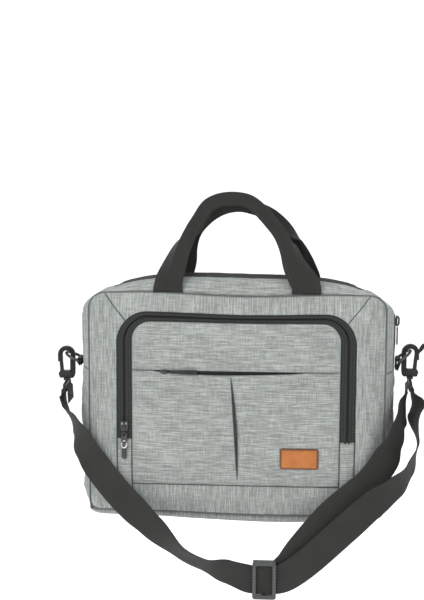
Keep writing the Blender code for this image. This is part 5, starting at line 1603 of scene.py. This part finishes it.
# lever of the gate; only the right one sticks out
LEVERS = {
    "left": [(0.0098, -0.0105), (0.0104, -0.0088), (0.0104, -0.0068), (0.0099, -0.0056),
             (0.0088, -0.0052), (0.0070, -0.0052), (0.0060, -0.0060), (0.0056, -0.0080)],
    "right": [(0.0100, -0.0100), (0.0140, -0.0062), (0.0168, -0.0030), (0.0188, 0.0005),
              (0.0193, 0.0024), (0.0184, 0.0042), (0.0166, 0.0047), (0.0146, 0.0038),
              (0.0128, 0.0014), (0.0110, -0.0022), (0.0090, -0.0055), (0.0060, -0.0090)],
}
# swivel base in the Y-Z plane: a neck over a wide loop with a slot for the strap
LOOP_TOP, LOOP_LOW = SWIVEL_TOP - 0.0040, SWIVEL_TOP - SWIVEL_DEEP
SWIVEL_OUTLINE = [
    (-0.0055, SWIVEL_TOP), (0.0055, SWIVEL_TOP), (0.0066, SWIVEL_TOP - 0.0030), (0.0090, LOOP_TOP),
    *arc((0.0205, LOOP_TOP - 0.0027), 0.0027, 90, 0, 6),
    *arc((0.0205, LOOP_LOW + 0.0027), 0.0027, 0, -90, 6),
    *arc((-0.0205, LOOP_LOW + 0.0027), 0.0027, 270, 180, 6),
    *arc((-0.0205, LOOP_TOP - 0.0027), 0.0027, 180, 90, 6),
    (-0.0090, LOOP_TOP), (-0.0066, SWIVEL_TOP - 0.0030)]
SLOT_LOW, SLOT_HIGH = LOOP_LOW + 0.0036 + 0.0016, LOOP_TOP - 0.0030 - 0.0016
SWIVEL_SLOT = [p for y, z, start in ((0.0182, SLOT_LOW, -90), (0.0182, SLOT_HIGH, 0),
                                     (-0.0182, SLOT_HIGH, 90), (-0.0182, SLOT_LOW, 180))
               for p in arc((y, z), 0.0016, start, start + 90, 4)]

for side, tag in SIDES:
    x, z = HOOKS[tag]
    face = -HOOK_HALF
    solid = Solid().plate(moved(HOOK_OUTLINE, x, z, side), face, HOOK_HALF, 0.0009, 3)
    solid.plate(moved(SPINE_RIB, x, z, side), face - 0.0005, face + 0.0004, 0.0002, 2)
    solid.box((x - 0.0080, face - 0.0006, z - 0.0392),      # collar at the foot
              (x + 0.0080, HOOK_HALF + 0.0006, z - 0.0350), 0.0008, 3)
    solid.finish("snap_hook_" + tag, "snap_" + tag, [PLASTIC], "black_plastic", ("hook_" + tag,))

    gate = [(0.0030, -0.0300), (0.0082, -0.0305), (0.0094, -0.0140), *LEVERS[tag],
            (0.0046, -0.0130)]
    solid = Solid().plate(moved(gate, x, z, side), face - 0.0020, face - 0.0004, 0.0005, 3)
    near, far = sorted((x + side * 0.0052, x + side * 0.0078))
    for grip in (-0.0270, -0.0245, -0.0220, -0.0195):
        solid.box((near, face - 0.0024, z + grip - 0.0005),
                  (far, face - 0.0018, z + grip + 0.0005), 0.0002, 2)
    solid.finish("snap_gate_" + tag, "gate_" + tag, [PLASTIC], "black_plastic",
                 ("hook_gate_" + tag,))

    solid = Solid().plate(moved(SWIVEL_OUTLINE, 0.0, z), x - 0.0019, x + 0.0019, 0.0006, 3,
                          axis="x", holes=[moved(SWIVEL_SLOT, 0.0, z)])
    solid.box((x - 0.0042, -0.0042, z + SWIVEL_TOP - 0.0030),
              (x + 0.0042, 0.0042, z + SWIVEL_TOP + 0.0004), 0.0010, 4)
    solid.finish("swivel_base_" + tag, "strap", [PLASTIC], "black_plastic", ("hook_base_" + tag,))


# ------------------------------------------------------------------ zip sliders and pullers
def slider_outline(width, height):
    """Shield shape from half sizes: wide shoulders at the top, narrower foot."""
    right = [(0.62, -1), (0.92, -0.35), (1, 0.30), (0.86, 0.80), (0.50, 1), (0.12, 0.72)]
    shape = [(-0.62, -1)] + right + mirrored(right[:0:-1])
    return [(width * x, height * z) for x, z in shape]


# bridge over a slider: height as share of its half height, distance from the plate's inner face
POCKET_BRIDGE = ((0.78, 0.0016), (0.70, 0.0030), (0.45, 0.0037), (0, 0.0039), (-0.5, 0.0038),
                 (-0.80, 0.0031), (-0.90, 0.0016))
MAIN_BRIDGE = ((0.78, 0.0014), (0.68, 0.0030), (0.35, 0.0038), (0, 0.0039), (-0.5, 0.0037),
               (-0.80, 0.0030), (-0.90, 0.0014))
WELT_BRIDGE = ((0.8, 0.0012), (0.6, 0.0024), (0, 0.0029), (-0.6, 0.0024), (-0.8, 0.0012))

# pocket slider
lo, hi, mid = cad_box("pocket_slider")
half_width, half_height = (hi.x - lo.x) / 2, (hi.z - lo.z) / 2
solid = Solid().plate(moved(slider_outline(half_width, half_height), mid.x, mid.z),
                      hi.y - 0.0016, hi.y, 0.0005, 3)
bridge = [(mid.x, hi.y - out, mid.z + half_height * f) for f, out in POCKET_BRIDGE]
solid.wire(resample(bridge, 26), 0.00125)
# two bright nickel bars on the slider's face stand in for its two highlights: painted highlights
for sign in (-1, 1):
    x = mid.x + sign * 0.0026
    solid.box((x - 0.0007, hi.y - 0.0022, mid.z + half_height * 0.25),
              (x + 0.0007, hi.y - 0.0014, mid.z + half_height * 0.62), 0.0003, 2, material=1)
solid.finish("pocket_zip_slider_body", "pocket_zip_slider", [BLACK_METAL, NICKEL], "black_metal",
             ("pocket_slider",))

# pocket puller: eye plate, nickel link and ribbed tail; outlines hang from the top of its box
EYE_TOP = arc((0, -0.0034), 0.0034, 0, 180, 12) + [(-0.0036, -0.0120)]
EYE_HOLE = arc((0, -0.0036), 0.0015, 0, 330, 11)
EYE = (EYE_TOP + arc((-0.0026, -0.0140), 0.0010, 180, 270, 4)
       + arc((0.0026, -0.0140), 0.0010, 270, 360, 4) + [(0.0036, -0.0120)])
LINK_SLOT = moved(rounded_rect(0.0020, 0.0011, 0.0009, 5, 6)[:-1], 0.0, -0.0118)
TAIL = [(0.0014, -0.0182), (0.0027, -0.0205), (0.0034, -0.0290), (0.0033, -0.0335),
        (0.0022, -0.0356), (0.0, -0.0360)]
TAIL += mirrored(TAIL[-2::-1])
lo, hi, mid = cad_box("pocket_puller")
solid = Solid().plate(moved(EYE, mid.x, hi.z), mid.y - 0.0008, mid.y + 0.0008, 0.0003, 2,
                      holes=[moved(EYE_HOLE, mid.x, hi.z), moved(LINK_SLOT, mid.x, hi.z)])
link = [(mid.x + 0.0034 * math.cos(a), mid.y - 0.0004 + 0.0012 * math.sin(a),
         hi.z - 0.0162 + 0.0044 * math.sin(a))
        for a in np.linspace(0, 2 * math.pi, 40, endpoint=False)]
solid.wire(link, 0.00105, closed=True, material=1)
solid.plate(moved(TAIL, mid.x, hi.z), mid.y - 0.0009, mid.y + 0.0009, 0.0006, 3)
for z in (-0.0245, -0.0270, -0.0295, -0.0320):
    solid.box((mid.x - 0.0022, mid.y - 0.0013, hi.z + z - 0.0005),
              (mid.x + 0.0022, mid.y - 0.0007, hi.z + z + 0.0005), 0.0002, 2)
solid.finish("pocket_zip_pull", "pocket_zip_puller", [BLACK_METAL, NICKEL], "black_metal",
             ("pocket_puller",))

# main slider, facing +X
lo, hi, mid = cad_box("main_slider")
half_width, half_height = (hi.y - lo.y) / 2, (hi.z - lo.z) / 2
solid = Solid().plate(moved(slider_outline(half_width, half_height), mid.y, mid.z),
                      lo.x, lo.x + 0.0016, 0.0005, 3, axis="x")
bridge = [(lo.x + out, mid.y, mid.z + half_height * f) for f, out in MAIN_BRIDGE]
solid.wire(resample(bridge, 26), 0.00125)
solid.finish("main_zip_slider_body", "main_zip_slider", [BLACK_METAL], "black_metal",
             ("main_slider",))

# main puller: eye plate with a round open end
lo, hi, mid = cad_box("main_puller")
pull = (EYE_TOP + [(-0.0046, -0.0170)] + arc((0, -0.0192), 0.0048, 180, 360, 16)
        + [(0.0046, -0.0170), (0.0036, -0.0120)])
holes = [moved(hole, mid.y, hi.z) for hole in (EYE_HOLE, arc((0, -0.0192), 0.0027, 0, 340, 17))]
solid = Solid().plate(moved(pull, mid.y, hi.z), mid.x - 0.0008, mid.x + 0.0008, 0.0003, 2,
                      axis="x", holes=holes)
solid.finish("main_zip_pull", "main_zip_puller", [BLACK_METAL], "black_metal", ("main_puller",))

# welt slider, lying on its side
lo, hi, mid = cad_box("welt_slider")
half_width, half_height = (hi.x - lo.x) / 2, (hi.z - lo.z) / 2
outline = [(mid.x + z * (half_width / half_height), mid.z + x * (half_height / half_width))
           for x, z in slider_outline(half_width, half_height)]
solid = Solid().plate(outline, hi.y - 0.0014, hi.y, 0.0004, 3)
bridge = [(mid.x + half_width * f, hi.y - out, mid.z) for f, out in WELT_BRIDGE]
solid.wire(resample(bridge, 20), 0.0009, sides=10)
solid.finish("welt_zip_slider_body", "welt_zip_slider", [BLACK_METAL], "black_metal",
             ("welt_slider",))
start_y = lo.y + 0.0002

# welt puller: a ribbed stem leaning from the slider to the cloth
lo, hi, mid = cad_box("welt_puller")
end_y = float(pocket_y(-0.060, WELT_Z)) - 0.0028
stem = (arc((lo.x + 0.0022, 0.0), 0.0020, 90, 270, 8)
        + [(lo.x + 0.0120, -0.0016), (lo.x + 0.0165, -0.0026), (hi.x - 0.0014, -0.0029)]
        + arc((hi.x - 0.0016, -0.0013), 0.0016, -90, 0, 4)
        + arc((hi.x - 0.0016, 0.0013), 0.0016, 0, 90, 4)
        + [(lo.x + 0.0165, 0.0026), (lo.x + 0.0120, 0.0016)])
solid = Solid().plate(moved(stem, 0.0, mid.z), -0.0011, 0.0009, 0.0005, 3)
for x in np.arange(lo.x + 0.0200, hi.x - 0.0030, 0.0024):
    solid.box((x - 0.0005, -0.0015, mid.z - 0.0020), (x + 0.0005, -0.0009, mid.z + 0.0020),
              0.0002, 2)


def lean(point):
    x, y, z = point
    t = (x - lo.x) / (hi.x - lo.x)
    return x, y + (start_y * (1 - t) + end_y * t), z


solid.points = [lean(p) for p in solid.points]
solid.finish("welt_zip_pull", "welt_zip_puller", [PLASTIC], "black_plastic", ("welt_puller",))


# ------------------------------------------------------------------ stitch rows on the cloth
def surface_row(path, proud=0.0):
    """Row for stitches() laid on the front cloth along an X-Z path."""
    x, z = np.array(path, float).T
    return stack(x, front_y(x, z) - proud, z), FRONT


def level_row(half_x, z, proud=0.0):
    return surface_row(line((-half_x, z), (half_x, z), 80), proud)


rows = [surface_row(arch(ZIP_OUT_X + 0.0040, ZIP_OUT_Z + 0.0040, ZIP_OUT_R + 0.004,
                         EDGE_LOW + 0.010, 100, 30, 120)),
        level_row(ZIP_IN_X - 0.003, POCKET_SEAM - 0.0036)]
for side, _ in SIDES:
    rows.append(surface_row(line((side * (ZIP_OUT_X - 0.003), ZIP_END - 0.0032),
                                 (side * (ZIP_IN_X + 0.003), ZIP_END - 0.0032), 6), 0.0004))
stitches("stitches_front", rows, THREAD, "bag")

rows = [surface_row(arch(ZIP_IN_X - 0.0036, ZIP_IN_Z - 0.0036, ZIP_IN_R - 0.0036,
                         LIP_Z + 0.004, 40, 26, 110), 0.0002),
        level_row(ZIP_IN_X - 0.004, LIP_Z + 0.0030, 0.0004)]
stitches("stitches_pocket_top", rows, THREAD, "pocket_door")

rows = [surface_row(line((side * (ZIP_IN_X - 0.0036), POCKET_SEAM + 0.004),
                         (side * (ZIP_IN_X - 0.0036), LIP_Z - 0.006), 80), 0.0002)
        for side, _ in SIDES]
rows.append(level_row(ZIP_IN_X - 0.004, POCKET_SEAM + 0.0034, 0.0002))
stitches("stitches_pocket_front", rows, THREAD, "bag", blend_to=DOOR)

rows = []
for sign, tree in zip((-1, 1), GUSSET_TREES):
    points, normals = crest_line(sign * 0.0178, 0.0007)
    for i, (x, z) in enumerate(normals):        # lay each point on the settled cloth
        out = Vector((x, 0, z)).normalized()
        hit = tree.ray_cast(Vector(points[i]) + out * 0.015, -out, 0.03)[0]
        if hit is not None:
            points[i] = np.array(hit + out * 0.00025)
    rows.append((points, stack(normals[:, 0], sign * 0.5, normals[:, 1])))
stitches("stitches_top_gusset", rows, THREAD, "bag")

# ------------------------------------------------------------------ CAD nodes that stay
INNER_LAYERS = {"front_foam_pad": (FOAM, "foam"), "laptop_divider": (LINING, "lining"),
                "base_board": (BOARD, "stiffener")}
for node, (material, slot) in INNER_LAYERS.items():
    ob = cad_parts[node]
    ob.data.materials.clear()
    ob.data.materials.append(material)
    bevel = ob.modifiers.new("soft_edges", "BEVEL")
    bevel.width, bevel.segments, bevel.limit_method = 0.0006, 2, "ANGLE"
for node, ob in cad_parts.items():
    if not ob.hide_render and node not in INNER_LAYERS:
        raise SystemExit("CAD node left bare: " + node)

# ------------------------------------------------------------------ floor curving up to a wall
mat = Material("pale_floor")
mat.shader.inputs["Emission Color"].default_value = (1, 1, 1, 1)
mat.shader.inputs["Emission Strength"].default_value = 0.30
mottle = mat.noise(mat.object_space(), 3.0, detail=3.0)
floor_material = mat.finish(mat.ramp(mottle, (0.3, 0.90), (0.7, 0.94)), 0.9, spec=0.1)
FLOOR_REACH, FLOOR_Z, CURVE_Y, CURVE_R = 14.0, -0.62, 4.0, 3.0
section = [(-FLOOR_REACH, FLOOR_Z)]
for degrees in range(0, 91, 6):
    a = math.radians(degrees)
    section.append((CURVE_Y + CURVE_R * math.sin(a), FLOOR_Z + CURVE_R * (1 - math.cos(a))))
section.append((CURVE_Y + CURVE_R, 9.0))
mesh = bpy.data.meshes.new("floor")
mesh.from_pydata([(x, y, z) for y, z in section for x in (-FLOOR_REACH, FLOOR_REACH)], [],
                 [(2 * i, 2 * i + 1, 2 * i + 3, 2 * i + 2) for i in range(len(section) - 1)])
mesh.polygons.foreach_set("use_smooth", [True] * len(mesh.polygons))
floor = bpy.data.objects.new("floor", mesh)
bpy.context.scene.collection.objects.link(floor)
mesh.materials.append(floor_material)

# ------------------------------------------------------------------ world: brighter to the camera
world = bpy.data.worlds.new("studio")
bpy.context.scene.world = world
world.use_nodes = True
tree = world.node_tree
lighting = tree.nodes["Background"]
backdrop = tree.nodes.new("ShaderNodeBackground")
mixer = tree.nodes.new("ShaderNodeMixShader")
rays = tree.nodes.new("ShaderNodeLightPath")
for background, strength in ((lighting, 0.72), (backdrop, 1.05)):
    background.inputs[0].default_value = (1.0, 1.0, 1.0, 1.0)
    background.inputs[1].default_value = strength
output = next(n for n in tree.nodes if n.type == "OUTPUT_WORLD")
tree.links.new(rays.outputs["Is Camera Ray"], mixer.inputs[0])
tree.links.new(lighting.outputs[0], mixer.inputs[1])
tree.links.new(backdrop.outputs[0], mixer.inputs[2])
tree.links.new(mixer.outputs[0], output.inputs[0])

# ------------------------------------------------------------------ lights
# name, place, height aimed at on the Z axis, size, watts
LIGHTS = (("key", (-1.1, -2.0, 1.75), 0.20, (1.5, 1.5), 44),
          ("fill", (1.9, -1.8, 0.9), 0.14, (1.6, 2.0), 12),
          ("top", (0.2, -0.2, 2.4), 0.15, (1.6, 1.6), 12),
          ("rim", (-0.8, 2.0, 1.6), 0.15, (1.4, 1.4), 16))
for name, place, aim_z, size, watts in LIGHTS:
    light = bpy.data.lights.new(name, "AREA")
    light.shape, light.energy = "RECTANGLE", watts
    light.size, light.size_y = size
    ob = bpy.data.objects.new(name, light)
    bpy.context.scene.collection.objects.link(ob)
    ob.location = place
    ob.rotation_mode = "QUATERNION"
    aim = Vector((0, 0, aim_z)) - Vector(place)
    ob.rotation_quaternion = aim.to_track_quat("-Z", "Y")

# ------------------------------------------------------------------ camera
# slightly right of square on, looking a little down
AZIMUTH, ELEVATION, ROLL = math.radians(3.625), math.radians(8.660), math.radians(0.266)
DISTANCE, LENS_MM = 1.8938, 85.9974
TARGET = Vector((-0.03476, 0.0, 0.28809))
back = Vector((math.sin(AZIMUTH) * math.cos(ELEVATION), -math.cos(AZIMUTH) * math.cos(ELEVATION),
               math.sin(ELEVATION)))
right = Vector((math.cos(AZIMUTH), math.sin(AZIMUTH), 0))
up = right.cross(-back)
cos_roll, sin_roll = math.cos(ROLL), math.sin(ROLL)
axes = Matrix((right * cos_roll + up * sin_roll, right * -sin_roll + up * cos_roll, back))
pose = axes.transposed().to_4x4()
pose.translation = TARGET + back * DISTANCE
camera_data = bpy.data.cameras.new("camera")
camera = bpy.data.objects.new("camera", camera_data)
bpy.context.scene.collection.objects.link(camera)
camera.matrix_world = pose
camera_data.sensor_fit = "AUTO"
camera_data.sensor_width = 36.0
camera_data.lens = LENS_MM
camera_data.clip_start, camera_data.clip_end = 0.05, 60.0
bpy.context.scene.camera = camera
bpy.context.scene.view_settings.view_transform = "Standard"
bpy.context.scene.view_settings.look = "None"
bpy.context.scene.frame_set(1)
